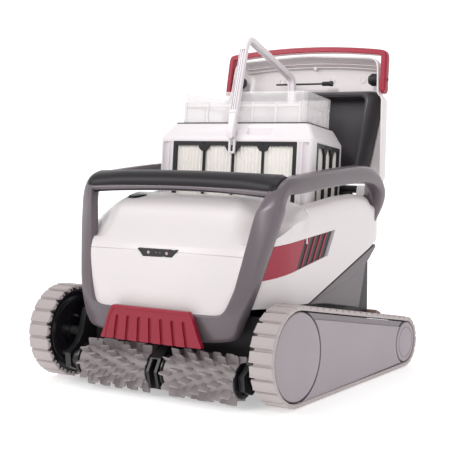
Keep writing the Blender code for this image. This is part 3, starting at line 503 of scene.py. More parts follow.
def fin(bm, x, angle, lean, twist):
    """One rounded rubber paddle standing on the core; lean shifts its outer edge along the roller."""
    half, thick = 0.0071, 0.0011
    shape = [(-half * 0.94, 0.0), (half * 0.94, 0.0), (half, 0.7), (half * 0.95, 0.92),
             (half * 0.78, 1.0), (-half * 0.78, 1.0), (-half * 0.95, 0.92), (-half, 0.7)]
    rows = []
    for offset in (-thick, thick):
        row = []
        for a, rise in shape:
            radius = mix(CORE_R - 0.0012, FIN_R - (0.0003 if rise == 1.0 else 0.0), rise)
            here = angle + twist * a
            tangent = offset * (1.15 if rise < 0.3 else 0.9) + 0.003 * rise * rise
            y = radius * math.cos(here) - tangent * math.sin(here)
            z = radius * math.sin(here) + tangent * math.cos(here)
            row.append((x + a + lean * rise, BRUSH_Y + y, BRUSH_Z + z))
        rows.append(row)
    skin(rows, bm=bm)


def make_brushes():
    for label, ends, way in (("left", (-0.121, -0.004), 1), ("right", (0.025, 0.139), -1)):
        low, high = ends
        core = [(low, 0.007), (low, CORE_R - 0.001), (low + 0.001, CORE_R),
                (high - 0.001, CORE_R), (high, CORE_R - 0.001), (high, 0.007)]
        bm = turn(core, "x", (BRUSH_Y, BRUSH_Z), 54, wrap=True)
        columns, rows = 7, 9
        pitch = (high - low - 0.004) / columns
        for column in range(columns):
            x = low + 0.002 + pitch * (column + 0.5)
            for row in range(rows):
                angle = math.tau * (row + 0.34 * way * column) / rows + 0.2
                fin(bm, x, angle, 0.0014 * way, -5.0 * way)
        piece(f"brush_{label}_roller", bm, BRUSH, "brushes", (f"brush_{label}",),
              smooth=38)
        for end, outward in ((low, -1), (high, 1)):
            ring = [(0.0002, 0.008), (0.0002, 0.0232), (0.0006, 0.024), (0.0024, 0.024),
                    (0.0028, 0.0232), (0.0028, 0.018), (0.0018, 0.017), (0.0018, 0.008)]
            bm = turn([(end + outward * x, r) for x, r in ring], "x", (BRUSH_Y, BRUSH_Z), 54, wrap=True)
            tag = "inner" if (outward > 0) == (label == "left") else "outer"
            piece(f"brush_ring_{label}_{tag}", bm, GLOSS_BLACK, "brushes", smooth=24)


# ---------------------------------------------------------------- upper body
def side_bottom(y):
    return through(((-0.03, 0.131), (0.093, 0.1225), (0.3, 0.1915), (0.308, 0.197)), y)


def side_crease(y):
    return through(((-0.03, 0.205), (0.009, 0.208), (0.308, 0.238)), y)


def shoulder_top(y):
    return through(((0.06, 0.254), (0.1, 0.2585), (0.127, 0.2605), (0.178, 0.2655),
                    (0.238, 0.267), (0.279, 0.261), (0.3, 0.249)), y)


HOOD_PROFILE = (  # Y and Z of the hood's middle line, from behind the frame's bar to the bay
    (-0.04, 0.11), (-0.039, 0.1172), (-0.034, 0.14), (-0.0272, 0.17), (-0.0216, 0.1945),
    (-0.018, 0.203),
    (-0.0136, 0.21), (-0.006, 0.222), (0.0005, 0.232), (0.007, 0.243), (0.013, 0.253),
    (0.022, 0.261), (0.034, 0.267), (0.052, 0.27), (0.075, 0.2695), (0.0925, 0.2665))


DISPLAY_X, DISPLAY_Y = -0.001, -0.0292


def hood_fall(x, y):
    """How far the hood has dropped towards the side at this X, where its middle line is at Y."""
    start = through(((0.0, 0.101), (0.02, 0.098), (0.04, 0.092), (0.07, 0.108),
                     (0.096, 0.112)), y)
    steep = through(((0.02, 0.23), (0.04, 0.205), (0.07, 0.17), (0.0925, 0.087)), y)
    reach = max(0.0, abs(x) - start) * 1000
    edge = 0.011 * max(0.0, (abs(x) - 0.154) / 0.0105) ** 2 * smoothstep(0.05, 0.0925, y)
    return 0.001 * steep * reach ** 1.25 * smoothstep(-0.019, 0.008, y) + edge


def hood_width(y):
    return through(((-0.04, 0.104), (-0.039, 0.112), (-0.034, 0.1215), (-0.0272, 0.1285),
                    (-0.0216, 0.1335), (-0.0136, 0.139), (0.0005, 0.147), (0.013, 0.158), (0.022, 0.165)), y)


def hood_point(x, y, z, ahead):
    """Point of the hood over the middle line's (y, z); ahead is that line's direction."""
    fall = hood_fall(x, y)
    bow = mix(0.011, 0.0055, smoothstep(0.125, 0.185, z)) * (x / 0.13) ** 2
    bow *= 1 - smoothstep(0.0, 0.04, y)
    bulge = 0.007 * max(0.0, 1 - (x / 0.122) ** 2) * smoothstep(0.12, 0.15, z)
    bulge *= 1 - smoothstep(0.2, 0.255, z)
    facet = through(((-0.0136, 0.097), (0.0045, 0.112), (0.013, 0.118), (0.022, 0.124)), y)
    if -0.013 < y < 0.04:
        fall += 0.16 * max(0.0, abs(x) - facet)
    inward = (ahead[1], -ahead[0])
    return x, y + bow - bulge + fall * inward[0] * 0.55, z + fall * inward[1]


def make_hood():
    line = curve(HOOD_PROFILE[:5], 4) + curve(HOOD_PROFILE[5:], 3)
    rows = []
    for i, (y, z) in enumerate(line):
        width, ahead = hood_width(y), heading(line, i)
        rows.append([hood_point(width * t, y, z, ahead) for t in steps(-1.0, 1.0, 64)])
    rows.append([(x, y + 0.0022, z - 0.003) for x, y, z in rows[-1]])
    rows.append([(x, y - 0.0006, z - 0.03) for x, y, z in rows[-1]])
    rows.append([(x, y, mix(z, 0.205, 0.96)) for x, y, z in rows[-1]])
    bm = skin(rows, closed=False)
    hood = piece("front_hood_shell", bm, WHITE, stands_for=("front_hood",),
                 wall=0.0022, smooth=26)
    bm = prism(rounded(display_outline(0.0005), 0.0012), "y", -0.05, -0.005)
    carve(hood, "display_window", bm)
    # the thin parting line across the front
    rows = []
    for x in steps(-0.13, 0.13, 40):
        y = hood_point(x, -0.0216, 0.1945, (0.25, 0.97))[1]
        level = 0.1962 - 0.0022 * (x / 0.13) ** 2
        rows.append([(x, y + p, level + q) for p, q in ((-0.004, -0.0004), (0.0012, -0.0004),
                                                        (0.0012, 0.0004), (-0.004, 0.0004))])
    bm = skin(rows)
    carve(hood, "parting_line", bm)
    # a black oval pad set into the left shoulder
    rows = []
    for share, lift in ((1.0, -0.003), (1.0, 0.0006), (0.92, 0.0012), (0.5, 0.0014), (0.1, 0.0014)):
        row = []
        for p, q in circle(1.0, 32):
            x, y = 0.083 + 0.015 * share * p, 0.033 + 0.0075 * share * q - 0.002 * p
            middle = through(HOOD_PROFILE[6:], y)
            row.append((-x, y, middle - hood_fall(x, y) + lift))
        rows.append(row)
    bm = skin(rows)
    piece("shoulder_pad", bm, GLOSS_BLACK, smooth=40)


def display_outline(grow):
    return [(DISPLAY_X - 0.035 - grow, 0.1986 + grow), (DISPLAY_X + 0.033 + grow, 0.199 + grow),
            (DISPLAY_X + 0.024 + grow, 0.1893 - grow), (DISPLAY_X - 0.025 - grow, 0.1886 - grow)]


def make_display():
    bm = prism(rounded(display_outline(0.0), 0.0012), "y", DISPLAY_Y, DISPLAY_Y + 0.004)
    piece("display_lens", bm, GLOSS_BLACK, stands_for=("display_panel",), bevel=0.0003)
    for label, x, body in (("mode", -0.0165, "button_mode"), ("power", 0.0145, "button_power")):
        bm = turn([(DISPLAY_Y + 0.001, 0.0022), (DISPLAY_Y - 0.0004, 0.0022), (DISPLAY_Y - 0.0008, 0.0018),
                   (DISPLAY_Y - 0.0006, 0.0012), (DISPLAY_Y - 0.0004, 0.0004)], "y", (x, 0.194), 28)
        piece(f"button_{label}_key", bm, LAMP, body, (f"button_{label}",), smooth=60)
    for k, x in enumerate((-0.003, 0.0032)):
        bm = turn([(DISPLAY_Y + 0.001, 0.0007), (DISPLAY_Y - 0.0003, 0.0006), (DISPLAY_Y - 0.0004, 0.0002)],
                  "y", (x, 0.1944), 14)
        piece(f"lamp_{k + 1}", bm, LAMP, smooth=60)


def shell_section(y):
    """Right half's section at Y, from the bottom edge over the shoulder to the bay wall's foot."""
    bottom, crease = side_bottom(y), side_crease(y)
    section = [(BODY_X, bottom), (BODY_X, crease)]
    if y < 0.0955:
        middle = through(HOOD_PROFILE[6:], y)
        for x, sink in ((0.1646, 0.002), (0.16, 0.0034), (0.155, 0.004), (0.15, 0.004),
                        (0.145, 0.004), (0.14, 0.004), (0.138, 0.005)):
            section.append((x, max(crease + 0.0002, middle - hood_fall(x, y) - sink)))
        section.append((0.138, 0.205))
    else:
        top = shoulder_top(y)
        for x, z in ((0.165, mix(crease, top, 0.35)), (0.1642, mix(crease, top, 0.6)),
                     (0.1622, mix(crease, top, 0.8)), (0.158, mix(crease, top, 0.94)),
                     (0.153, top), (0.1495, top - 0.0012), (BAY_X, top - 0.006),
                     (BAY_X, 0.205)):
            section.append((x, z))
    return [(x, y, z) for x, z in section]


def leg_side(z):
    """X and Y of the back edge of the carrying frame's leg at height z."""
    leg = [outer for outer, inner, depth in FRAME_PATH[6:12]] + [(0.169, 0.01, 0.26)]
    x, y = (through([(place[2], place[i]) for place in leg], z) for i in (0, 1))
    return x - 0.0015, y + 0.016


def side_x(y, z):
    """X of the white side panel, which curves in towards the frame's leg at the front."""
    x, front = leg_side(z)
    t = min(max((y - front) / (0.052 - front), 0.0), 1.0)
    return mix(x, BODY_X, 1 - (1 - t) ** 2)


def rear_section(x, y, bay_x, bay_y):
    bottom = max(side_bottom(min(y, 0.308)), 0.19)
    section = [(x, y, bottom), (x, y, 0.236)]
    for share, z in ((0.98, 0.2405), (0.9, 0.244), (0.74, 0.2462), (0.56, 0.247), (0.36, 0.2466),
                     (0.16, 0.245), (0.0, 0.24), (0.0, 0.21)):
        section.append((mix(bay_x, x, share), mix(bay_y, y, share), z))
    return section


def make_shell():
    loop = []
    for share in steps(0.0, 1.0, 6)[:-1]:
        section = []
        for wide, y, z in shell_section(0.052):
            level = min(z, 0.2075)
            y = mix(leg_side(level)[1], 0.052, share)
            z = z if z < 0.2 else mix(0.215, z, share)
            section.append((min(wide, side_x(y, level)), y, z))
        loop.append(section)
    for y in (0.052, 0.064, 0.076, 0.088, 0.095, 0.096, 0.11, 0.127, 0.15, 0.178, 0.205, 0.23,
              0.248, 0.262, 0.276):
        loop.append(shell_section(y))
    corner = (((0.1648, 0.292), (BAY_X, 0.288)), ((0.1636, 0.303), (0.1465, 0.3)),
              ((0.16, 0.313), (0.143, 0.3095)), ((0.153, 0.3215), (0.136, 0.3168)),
              ((0.143, 0.3262), (0.125, 0.3208)), ((0.07, 0.3275), (0.06, 0.3218)),
              ((0.0, 0.3275), (0.0, 0.3218)))
    for (x, y), (bay_x, bay_y) in corner:
        loop.append(rear_section(x, y, bay_x, bay_y))
    mirrored = [[(-x, y, z) for x, y, z in section] for section in loop[-2::-1]]
    bm = skin(loop + mirrored, closed=False)
    shell = piece("body_shell_panels", bm, WHITE, stands_for=("body_shell",),
                  wall=0.0022, smooth=30)
    for label, side in SIDES:
        outline = [(-0.0165, 0.16), (0.0095, 0.2072), (0.1702, 0.2192), (0.148, 0.1842)]
        bm = slab(outline, side, 0.141, 0.18)
        carve(shell, f"vent_window_{label}", bm)
        # lugs that carry the lid's hinge pins
        outline = [(0.3222, 0.235), (0.329, 0.235), (0.3385, 0.262), (0.3395, 0.268),
                   (0.3378, 0.2725), (0.333, 0.2745), (0.3285, 0.2725), (0.3262, 0.268)]
        bm = slab(outline, side, 0.117, 0.135)
        piece(f"hinge_lug_{label}", bm, WHITE, bevel=0.0008)


def make_hinge_barrel():
    bm = turn([(-0.116, 0.005), (-0.1152, 0.006), (0.1152, 0.006), (0.116, 0.005)], "x",
              (0.3315, 0.268), 28)
    for x in (-0.08, 0.0, 0.08):
        block((x - 0.012, 0.3215, 0.238), (x + 0.012, 0.33, 0.264), bm)
    block((-0.114, 0.3185, 0.23), (0.114, 0.3212, 0.264), bm)
    piece("hinge_barrel", bm, BLACK, bevel=0.0006)


def make_vents():
    low_a, low_b = (0.062, 0.1705), (0.1478, 0.1838)
    high_a, high_b = (0.0862, 0.2126), (0.17, 0.219)

    def slanted(first, last):
        """Outline of the strip between two shares of the louvred length."""
        corners = []
        for low, high, share in ((0, 1, first), (1, 0, last)):
            ends = (tuple(mix(a, b, share) for a, b in zip(low_a, low_b)),
                    tuple(mix(a, b, share) for a, b in zip(high_a, high_b)))
            corners += [ends[low], ends[high]]
        return corners

    for label, side in SIDES:
        rows = []
        for k in range(15):
            t = k / 14
            edge = [(mix(a, b, t), mix(p, q, t)) for (a, p), (b, q) in
                    (((-0.016, 0.1604), low_a), ((0.0098, 0.2068), high_a))]
            (y0, z0), (y1, z1) = edge
            front = [(side_x(y, z) - 0.0008, y, z) for y, z in
                     [(mix(y0, y1, s), mix(z0, z1, s)) for s in steps(0.0, 1.0, 6)]]
            back = [(x - 0.004, y, z) for x, y, z in front[::-1]]
            rows.append([(side * x, y, z) for x, y, z in front + back])
        bm = skin(rows)
        gap, slat = 0.144, 0.045
        for k in range(4):
            start = (k + 1) * gap + k * slat
            slab(slanted(start, start + slat), side, 0.16, 0.1638, bm)
        piece(f"side_vent_{label}_louvres", bm, VENT_RED,
              stands_for=(f"side_vent_{label}",), bevel=0.0005)
        # black plate behind the louvres: painted shade, a dark sheet that stands for the shaded depth seen
        # through the slots
        bm = slab(slanted(-0.1, 1.0), side, 0.156, 0.1626)
        piece(f"side_vent_{label}_well", bm, BLACK)
        bm = slab(slanted(0.915, 0.998), side, 0.1585, 0.1644)
        piece(f"side_vent_{label}_end", bm, COVER, bevel=0.0014)


def make_lower_sides():
    for label, side in SIDES:
        lower = [(0.098, 0.12), (0.15, 0.115), (0.253, 0.096), (0.277, 0.166),
                 (0.22, 0.144)]
        bm = slab(lower, side, 0.143, 0.1612)
        piece(f"lower_side_{label}_facet", bm, GREY,
              stands_for=(f"lower_side_{label}",), bevel=0.0016)
        upper = [(0.098, 0.1205), (0.22, 0.143), (0.278, 0.1655), (0.3025, 0.1835),
                 (0.3005, 0.188)]
        bm = slab(upper, side, 0.143, 0.1638)
        piece(f"lower_side_{label}_band", bm, GREY, bevel=0.0014)
        pad = [(0.31, 0.074), (0.329, 0.069), (0.331, 0.079), (0.313, 0.086)]
        bm = slab(rounded(pad, 0.004), side, 0.143, 0.16)
        piece(f"rear_pad_{label}", bm, CLAY, bevel=0.0012)


# ---------------------------------------------------------------- carrying frame
FRAME_PATH = (  # outer edge, inner edge, and the vector from the front face to the back face
    ((0.0, -0.0365, 0.077), (0.0, -0.0415, 0.1164), (0, 0.018, 0)),
    ((0.05, -0.0352, 0.0775), (0.05, -0.0405, 0.1164), (0, 0.018, 0)),
    ((0.088, -0.0335, 0.0785), (0.084, -0.0388, 0.1164), (0, 0.018, 0)),
    ((0.107, -0.0322, 0.081), (0.0935, -0.0382, 0.1165), (0, 0.018, 0)),
    ((0.1208, -0.0301, 0.0845), (0.1025, -0.0372, 0.118), (0, 0.018, 0)),
    ((0.1275, -0.0302, 0.094), (0.1085, -0.036, 0.1218), (0, 0.018, 0)),
    ((0.1316, -0.0304, 0.1042), (0.1125, -0.0348, 0.1275), (0, 0.018, 0)),
    ((0.1411, -0.0265, 0.1292), (0.1165, -0.0318, 0.138), (0, 0.018, 0)),
    ((0.1477, -0.0208, 0.1527), (0.1208, -0.0271, 0.1527), (0, 0.018, 0)),
    ((0.1524, -0.0151, 0.1733), (0.1245, -0.0224, 0.1733), (0, 0.018, 0)),
    ((0.157, -0.0089, 0.1945), (0.1283, -0.0176, 0.1945), (0, 0.018, 0)),
    ((0.1632, -0.0005, 0.2225), (0.1333, -0.0113, 0.2225), (0, 0.018, 0)),
    ((0.1687, 0.0087, 0.2508), (0.1385, -0.005, 0.25), (0, 0.018, 0)),
    ((0.169, 0.01, 0.262), (0.142, -0.001, 0.26), (0, 0.0185, -0.001)),
    ((0.17, 0.015, 0.278), (0.148, 0.008, 0.277), (0, 0.019, -0.006)),
    ((0.1715, 0.024, 0.289), (0.153, 0.02, 0.289), (0, 0.016, -0.014)),
    ((0.1735, 0.038, 0.296), (0.155, 0.036, 0.2965), (0, 0.009, -0.021)),
    ((0.1745, 0.06, 0.299), (0.155, 0.06, 0.3), (0, 0.002, -0.024)),
    ((0.175, 0.1, 0.302), (0.1555, 0.1, 0.3028), (0, 0.0, -0.0245)),
    ((0.1755, 0.15, 0.305), (0.156, 0.15, 0.3058), (0, 0.0, -0.0245)),
    ((0.1755, 0.2, 0.307), (0.156, 0.2, 0.3078), (0, 0.0, -0.0245)),
    ((0.1755, 0.24, 0.308), (0.156, 0.24, 0.3086), (0, 0.0, -0.0245)),
    ((0.1755, 0.27, 0.305), (0.156, 0.27, 0.3055), (0, -0.002, -0.0245)),
    ((0.175, 0.292, 0.2965), (0.1558, 0.292, 0.2967), (0, -0.01, -0.02)),
    ((0.1745, 0.3095, 0.2825), (0.156, 0.3095, 0.2825), (0, -0.0165, -0.012)),
    ((0.1742, 0.317, 0.266), (0.157, 0.317, 0.266), (0, -0.019, -0.004)),
    ((0.1722, 0.314, 0.248), (0.157, 0.314, 0.248), (0, -0.016, 0.0)),
    ((0.1672, 0.306, 0.231), (0.1555, 0.306, 0.231), (0, -0.011, 0.0)),
    ((0.162, 0.299, 0.216), (0.1535, 0.299, 0.216), (0, -0.008, 0.0)))


def make_carrying_frame():
    half = curve([tuple(c for part in station for c in part) for station in FRAME_PATH], 3)
    rows = []
    for side, s in [(-1, s) for s in half[:0:-1]] + [(1, s) for s in half]:
        outer, inner, depth = Vector(s[0:3]), Vector(s[3:6]), Vector(s[6:9])
        across = inner - outer
        ring = []
        for place, way_a, way_d, reach in ((outer, 1, 1, 0.0085), (inner, -1, 1, 0.0036),
                                           (inner + depth, -1, -1, 0.0036),
                                           (outer + depth, 1, -1, 0.0036)):
            corner = min(reach, depth.length * 0.42, across.length * 0.42)
            in_a, in_d = (across.normalized() * corner * way_a, depth.normalized() * corner * way_d)
            turn_one, turn_two = (in_d, in_a) if place in (outer, inner + depth) else (in_a, in_d)
            ring += [place + turn_one, place + turn_one * 0.62 + turn_two * 0.09,
                     place + turn_one * 0.29 + turn_two * 0.29,
                     place + turn_one * 0.09 + turn_two * 0.62, place + turn_two]
        rows.append([(side * p.x, p.y, p.z) for p in ring])
    bm = skin(rows)
    piece("carrying_frame", bm, GREY, smooth=50,
          stands_for=("front_frame", "side_bar_left", "side_bar_right"))

    for label, side in SIDES:
        # the rear of each bar widens inwards to meet the body behind the bay
        outer = [(0.27, 0.283), (0.293, 0.279), (0.309, 0.266), (0.312, 0.24),
                 (0.3, 0.24), (0.296, 0.256), (0.286, 0.269)]
        inner = [(0.295, 0.256), (0.302, 0.256), (0.308, 0.25), (0.31, 0.24),
                 (0.302, 0.24), (0.3, 0.244), (0.298, 0.25)]
        middle = [(mix(a, c, 0.4), min(mix(b, d, 0.4), 0.264)) for (a, b), (c, d) in zip(outer, inner)]
        bm = skin([[(side * x, y, z) for y, z in ring] for x, ring in
                   ((0.16, outer), (0.1545, middle), (0.14, inner))])
        piece(f"rear_web_{label}", bm, GREY, bevel=0.001)

    # grey cross-bar under the grip, then the dark soft grip itself
    rows = []
    for x in steps(-0.156, 0.156, 24):
        bow = (x / 0.156) ** 2
        y, z = mix(0.025, 0.02, bow), mix(0.2826, 0.2775, bow)
        rows.append([(x, y + 0.0105 * a, z - 0.0012 + 0.0056 * b) for a, b in circle(1.0, 20)])
    bm = skin(rows)
    piece("grip_core", bm, GREY, smooth=50)
    rows = []
    section = curve([(-1.0, -0.72), (-0.98, -0.3), (-0.84, 0.18), (-0.5, 0.62), (0.02, 0.93),
                     (0.52, 1.0), (0.92, 0.72), (1.0, 0.2), (0.86, -0.32), (0.4, -0.62),
                     (-0.2, -0.78), (-0.7, -0.96), (-0.93, -0.96), (-1.0, -0.72)], 3)[:-1]
    for t in steps(-1.0, 1.0, 48):
        bow = t * t
        flare = smoothstep(0.62, 1.0, abs(t))
        y, z = mix(0.029, 0.0265, bow) + 0.005 * flare, mix(0.2905, 0.2852, bow)
        half_y, half_z = 0.014 + 0.0062 * flare, mix(0.0137, 0.0158, bow)
        grow = 1.0 - 0.16 * smoothstep(0.965, 1.0, abs(t))
        rows.append([(0.161 * t, y + half_y * a * grow, z + half_z * b * grow) for a, b in section])
    bm = skin(rows)
    piece("grip_cover", bm, GRIP, stands_for=("grip_pad",), smooth=50)


def make_grille():
    outline = [(-0.0862, 0.0735), (-0.048, 0.0725), (0.048, 0.0725), (0.0862, 0.0735),
               (0.08, 0.086), (0.0742, 0.102), (0.0698, 0.113), (0.0645, 0.1208),
               (-0.0645, 0.1208), (-0.0698, 0.113), (-0.0742, 0.102), (-0.08, 0.086)]
    bm = prism(rounded(outline, 0.003), "y", -0.05, -0.0425)
    grille = piece("front_grille_plate", bm, RED, stands_for=("front_grille",))
    inner = [(-0.079, 0.07), (0.079, 0.07), (0.0752, 0.086), (0.07, 0.101),
             (0.0655, 0.111), (0.061, 0.1165), (-0.061, 0.1165), (-0.0655, 0.111),
             (-0.07, 0.101), (-0.0752, 0.086)]
    bm = prism(rounded(inner, 0.003), "y", -0.052, -0.0488)
    carve(grille, "grille_field", bm)
    for k, x in enumerate(steps(-0.056, 0.056, 6)):
        lean = x * 0.1
        outline = [(x - 0.003 + lean, 0.069), (x + 0.003 + lean, 0.069)]
        outline += [(x + a, 0.104 + b) for a, b in arc((0.0, 0.0), 0.003, 0, 180, 10)]
        bm = prism(outline, "y", -0.052, -0.0458)
        carve(grille, f"grille_slot_{k}", bm)
    add_bevel(grille, 0.0006)


# ---------------------------------------------------------------- lid (X, distance from the hinge, height)
LID_LENGTH = 0.222
FRONT_BOW = 0.0085
LATCH_U, LATCH_V = 0.174, 0.009


def lid_half_width(u):
    return min(0.1538, 0.1585 - 0.09 * u)


def front_bow(x):
    """How far the lid's curved front edge falls back at this X."""
    return FRONT_BOW * (x / 0.139) ** 2


def lid_ring(inset, v, count=6):
    """Rounded outline of the lid at height v, moved inwards by inset; the latch's bow wraps its end."""
    near, far = 0.009 + inset, LID_LENGTH - 0.007 - inset
    right = [(lid_half_width(near) - inset, near), (lid_half_width(0.146) - inset, 0.146),
             (lid_half_width(0.153) - 0.0072 - inset, 0.153), (lid_half_width(far) - 0.0068 - inset, far)]
    outline = right + [(0.0, far)] + [(-x, u) for x, u in right[::-1]]
    result = []
    for x, u in rounded(outline, 0.016 - min(inset, 0.0096), count):
        bow = front_bow(x) * smoothstep(0.12, 0.21, u)
        result.append((x, -(u - bow), v))
    return result


def make_lid():
    # rings from the rim up to the outer crown, then from the inner crown down to the rim; the strip
    # between the two crowns is a leftover, hidden inside the wall
    outside = ((0.0014, -0.0004), (0.0002, 0.0006), (0.0, 0.003), (0.0002, 0.012), (0.002, 0.0215),
               (0.0062, 0.0296), (0.013, 0.035), (0.023, 0.0386), (0.038, 0.0406),
               (0.062, 0.0414))
    inside = ((0.062, 0.039), (0.038, 0.0382), (0.0235, 0.0362), (0.0146, 0.0326),
              (0.0082, 0.0276), (0.0046, 0.0208), (0.003, 0.0118), (0.0028, 0.003),
              (0.0028, 0.0006))
    bm = bmesh.new()
    rings = [[bm.verts.new(point) for point in lid_ring(inset, v)] for inset, v in outside + inside]
    for ring, following in zip(rings, rings[1:]):
        join_rows(bm, ring, following)
    bm.faces.new(rings[len(outside) - 1])
    bm.faces.new(rings[len(outside)])
    join_rows(bm, rings[0], rings[-1])
    for _, side in SIDES:
        arm = arc((0.0, 0.0), 0.0062, -17, 180, 14)
        arm += [(-0.015, 0.0045), (-0.015, 0.0005), (-0.005, -0.004), (0.003, -0.0052)]
        slab(arm, side, 0.1372, 0.1492, bm)
    piece("lid_cover", bm, WHITE, "lid", ("lid_shell",), where=LID, smooth=30)

    # two shallow curved ribs and small ejector marks on the white inside, in front of the pad
    bm = bmesh.new()
    for reach in (0.2, 0.2046):
        rows = []
        for x in steps(-0.122, 0.122, 36):
            u = reach - front_bow(x)
            depth = 0.0345 - 0.02 * smoothstep(0.186, 0.214, reach)
            rows.append([(x, -(u + a), depth + b) for a, b in
                         ((-0.0006, 0.006), (-0.0004, -0.0012), (0.0004, -0.0012), (0.0006, 0.006))])
        skin(rows, bm=bm)
    rows = [[(0.008 + r * a, -0.1985 + r * b, v) for a, b in circle(1.0, 20)]
            for r, v in ((0.0026, 0.03), (0.0026, 0.0236), (0.0016, 0.0232))]
    skin(rows, bm=bm)
    for x in (-0.06, 0.034, 0.09):
        rows = [[(x + (0.0046 + a) * p, -0.18 + (0.0046 + a) * q, 0.0366 + b)
                 for a, b in ((-0.0004, 0.001), (-0.0002, -0.0006), (0.0002, -0.0006), (0.0004, 0.001))]
                for p, q in circle(1.0, 32)]
        skin(rows, wrap=True, bm=bm)
    piece("lid_inner_ribs", bm, WHITE, "lid", where=LID)

    # black pad: a raised ring with a groove, and a sunk panel that clears the folded handle
    sections = ((0.0, 0.033), (0.0004, 0.024), (0.002, 0.016), (0.0062, 0.008),
                (0.0112, 0.0024), (0.0138, 0.0006), (0.0158, 0.0006), (0.0166, 0.002),
                (0.0178, 0.0022), (0.019, 0.0022), (0.0204, 0.006), (0.0212, 0.02),
                (0.0224, 0.0345), (0.025, 0.0366), (0.03, 0.037), (0.056, 0.0372))
    rows = []
    for inset, v in sections:
        near, far = 0.012 + inset * 0.2, 0.159 - inset * 0.62
        ends = [(0.1125 - 0.48 * inset, near), (0.1345 - inset, far)]
        outline = [(-ends[0][0], near), ends[0], ends[1], (-ends[1][0], far)]
        rows.append([(x, -u, v) for x, u in rounded(outline, max(0.02 - inset * 0.5, 0.008), 8)])
    bm = skin(rows)
    piece("lid_pad", bm, PAD, "lid", ("lid_liner",), where=LID, smooth=40)
    bm = bmesh.new()
    for radius in (0.013, 0.0092):
        rows = [[(0.03 + (radius + a) * c, -0.086 + (radius + a) * s, 0.0372 + b)
                 for a, b in ((-0.0005, 0.001), (-0.0003, -0.0004), (0.0003, -0.0004),
                              (0.0005, 0.001))] for c, s in circle(1.0, 48)]
        skin(rows, wrap=True, bm=bm)
    for u in (0.118, 0.1225, 0.052, 0.0475):
        block((-0.072, -u - 0.0004, 0.0367), (0.072, -u + 0.0004, 0.038), bm)
    piece("lid_pad_marks", bm, PAD, "lid", where=LID)


def make_latch():
    arm = [(0.145, 0.156), (0.145, 0.162), (0.1449, 0.169), (0.1446, 0.18), (0.1438, 0.201),
           (0.1433, 0.209), (0.141, 0.2165)]
    front = [(x, LID_LENGTH + 0.0044 - front_bow(x))
             for x in (0.13, 0.112, 0.085, 0.056, 0.028, 0.0)]
    path = [Vector((x, -u, 0.0)) for x, u in curve(arm + front, 3)]
    path += [Vector((-p.x, p.y, 0.0)) for p in path[-2::-1]]
    rows = []
    for i, point in enumerate(path):
        ahead = (path[min(i + 1, len(path) - 1)] - path[max(i - 1, 0)]).normalized()
        outward = Vector((-ahead.y, ahead.x, 0.0))
        ring = [(-0.0066, 0.0006), (-0.0056, -0.0004), (0.001, -0.0004), (0.0019, 0.0006),
                (0.0022, 0.005), (0.0018, 0.013), (0.0008, 0.014), (-0.0056, 0.014),
                (-0.0066, 0.013)]
        rows.append([point + outward * a + Vector((0, 0, v)) for a, v in ring])
    bm = skin(rows)
    for label, side in SIDES:
        # hook at the arm's end and the eye round the pivot
        hook = [(-0.164, 0.0135), (-0.159, 0.014), (-0.1535, 0.012), (-0.151, 0.007),
                (-0.152, 0.001), (-0.1548, -0.0008), (-0.1572, 0.001), (-0.156, 0.006),
                (-0.1585, 0.008), (-0.162, 0.005)]
        slab(hook, side, 0.141, 0.1469, bm)
    piece("lid_latch_bow", bm, RED, "latch", ("lid_latch",), where=LID, smooth=40)
    for label, side in SIDES:
        knob = [(0.116, 0.005), (0.1166, 0.0072), (0.12, 0.0078), (0.1204, 0.0092)]
        for k in range(3):
            x = 0.1208 + 0.0034 * k
            knob += [(x, 0.0098), (x + 0.002, 0.0098), (x + 0.0022, 0.0088), (x + 0.0032, 0.0088)]
        knob += [(0.1312, 0.0094), (0.133, 0.0078), (0.1336, 0.0022), (0.1478, 0.0022)]
        bm = turn([(side * x, r) for x, r in knob], "x", (-LATCH_U, LATCH_V), 32)
        piece(f"latch_pivot_{label}_knob", bm, BLACK, "lid",
              (f"latch_pivot_{label}",), where=LID, smooth=28)
    rod = [(-0.052, 0.0004), (-0.052, 0.0015), (0.034, 0.0015), (0.0342, 0.0032)]
    for k in range(4):
        x = 0.035 + 0.0032 * k
        rod += [(x, 0.0036), (x + 0.002, 0.0036), (x + 0.0022, 0.0029), (x + 0.003, 0.0029)]
    rod += [(0.0484, 0.0045), (0.0518, 0.0045), (0.0522, 0.0038)]
    bm = turn(rod, "x", (-0.169, 0.006), 24)
    piece("lid_rod_bar", bm, BLACK, "lid", ("lid_rod",), where=LID, smooth=28)


# ---------------------------------------------------------------- basket
FRONT_W, REAR_W, DEPTH, HEIGHT, RIM = 0.136, 0.096, 0.163, 0.118, 0.021
PANEL_LOW, PANEL_HIGH = -0.1105, -0.0065


def plan(inset, z, corner=0.0):
    """The basket's outline at height z, moved inwards by inset: wide in front, narrow behind."""
    front, rear = inset, DEPTH - inset
    wide, narrow = [mix(FRONT_W, REAR_W, y / DEPTH) - 1.03 * inset for y in (front, rear)]
    outline = [(-wide, front), (wide, front), (narrow, rear), (-narrow, rear)]
    if corner:
        outline = rounded(outline, corner, 5)
    return [(x, y, z) for x, y in outline]


def panel_places():
    """Name, cells, half width and placement of the four filter panels."""
    yaw = math.pi / 2 + math.atan((FRONT_W - REAR_W) / DEPTH)
    side_x = (FRONT_W + REAR_W) / 2
    for name, place, turned_by, half, cells in (
            ("front", (0, 0, 0), 0.0, 0.109, 4), ("rear", (0, DEPTH, 0), math.pi, 0.072, 3),
            ("right", (side_x, DEPTH / 2, 0), yaw, 0.064, 3),
            ("left", (-side_x, DEPTH / 2, 0), -yaw, 0.064, 3)):
        yield name, cells, half, BASKET @ Matrix.Translation(place) @ Matrix.Rotation(turned_by, 4, "Z")


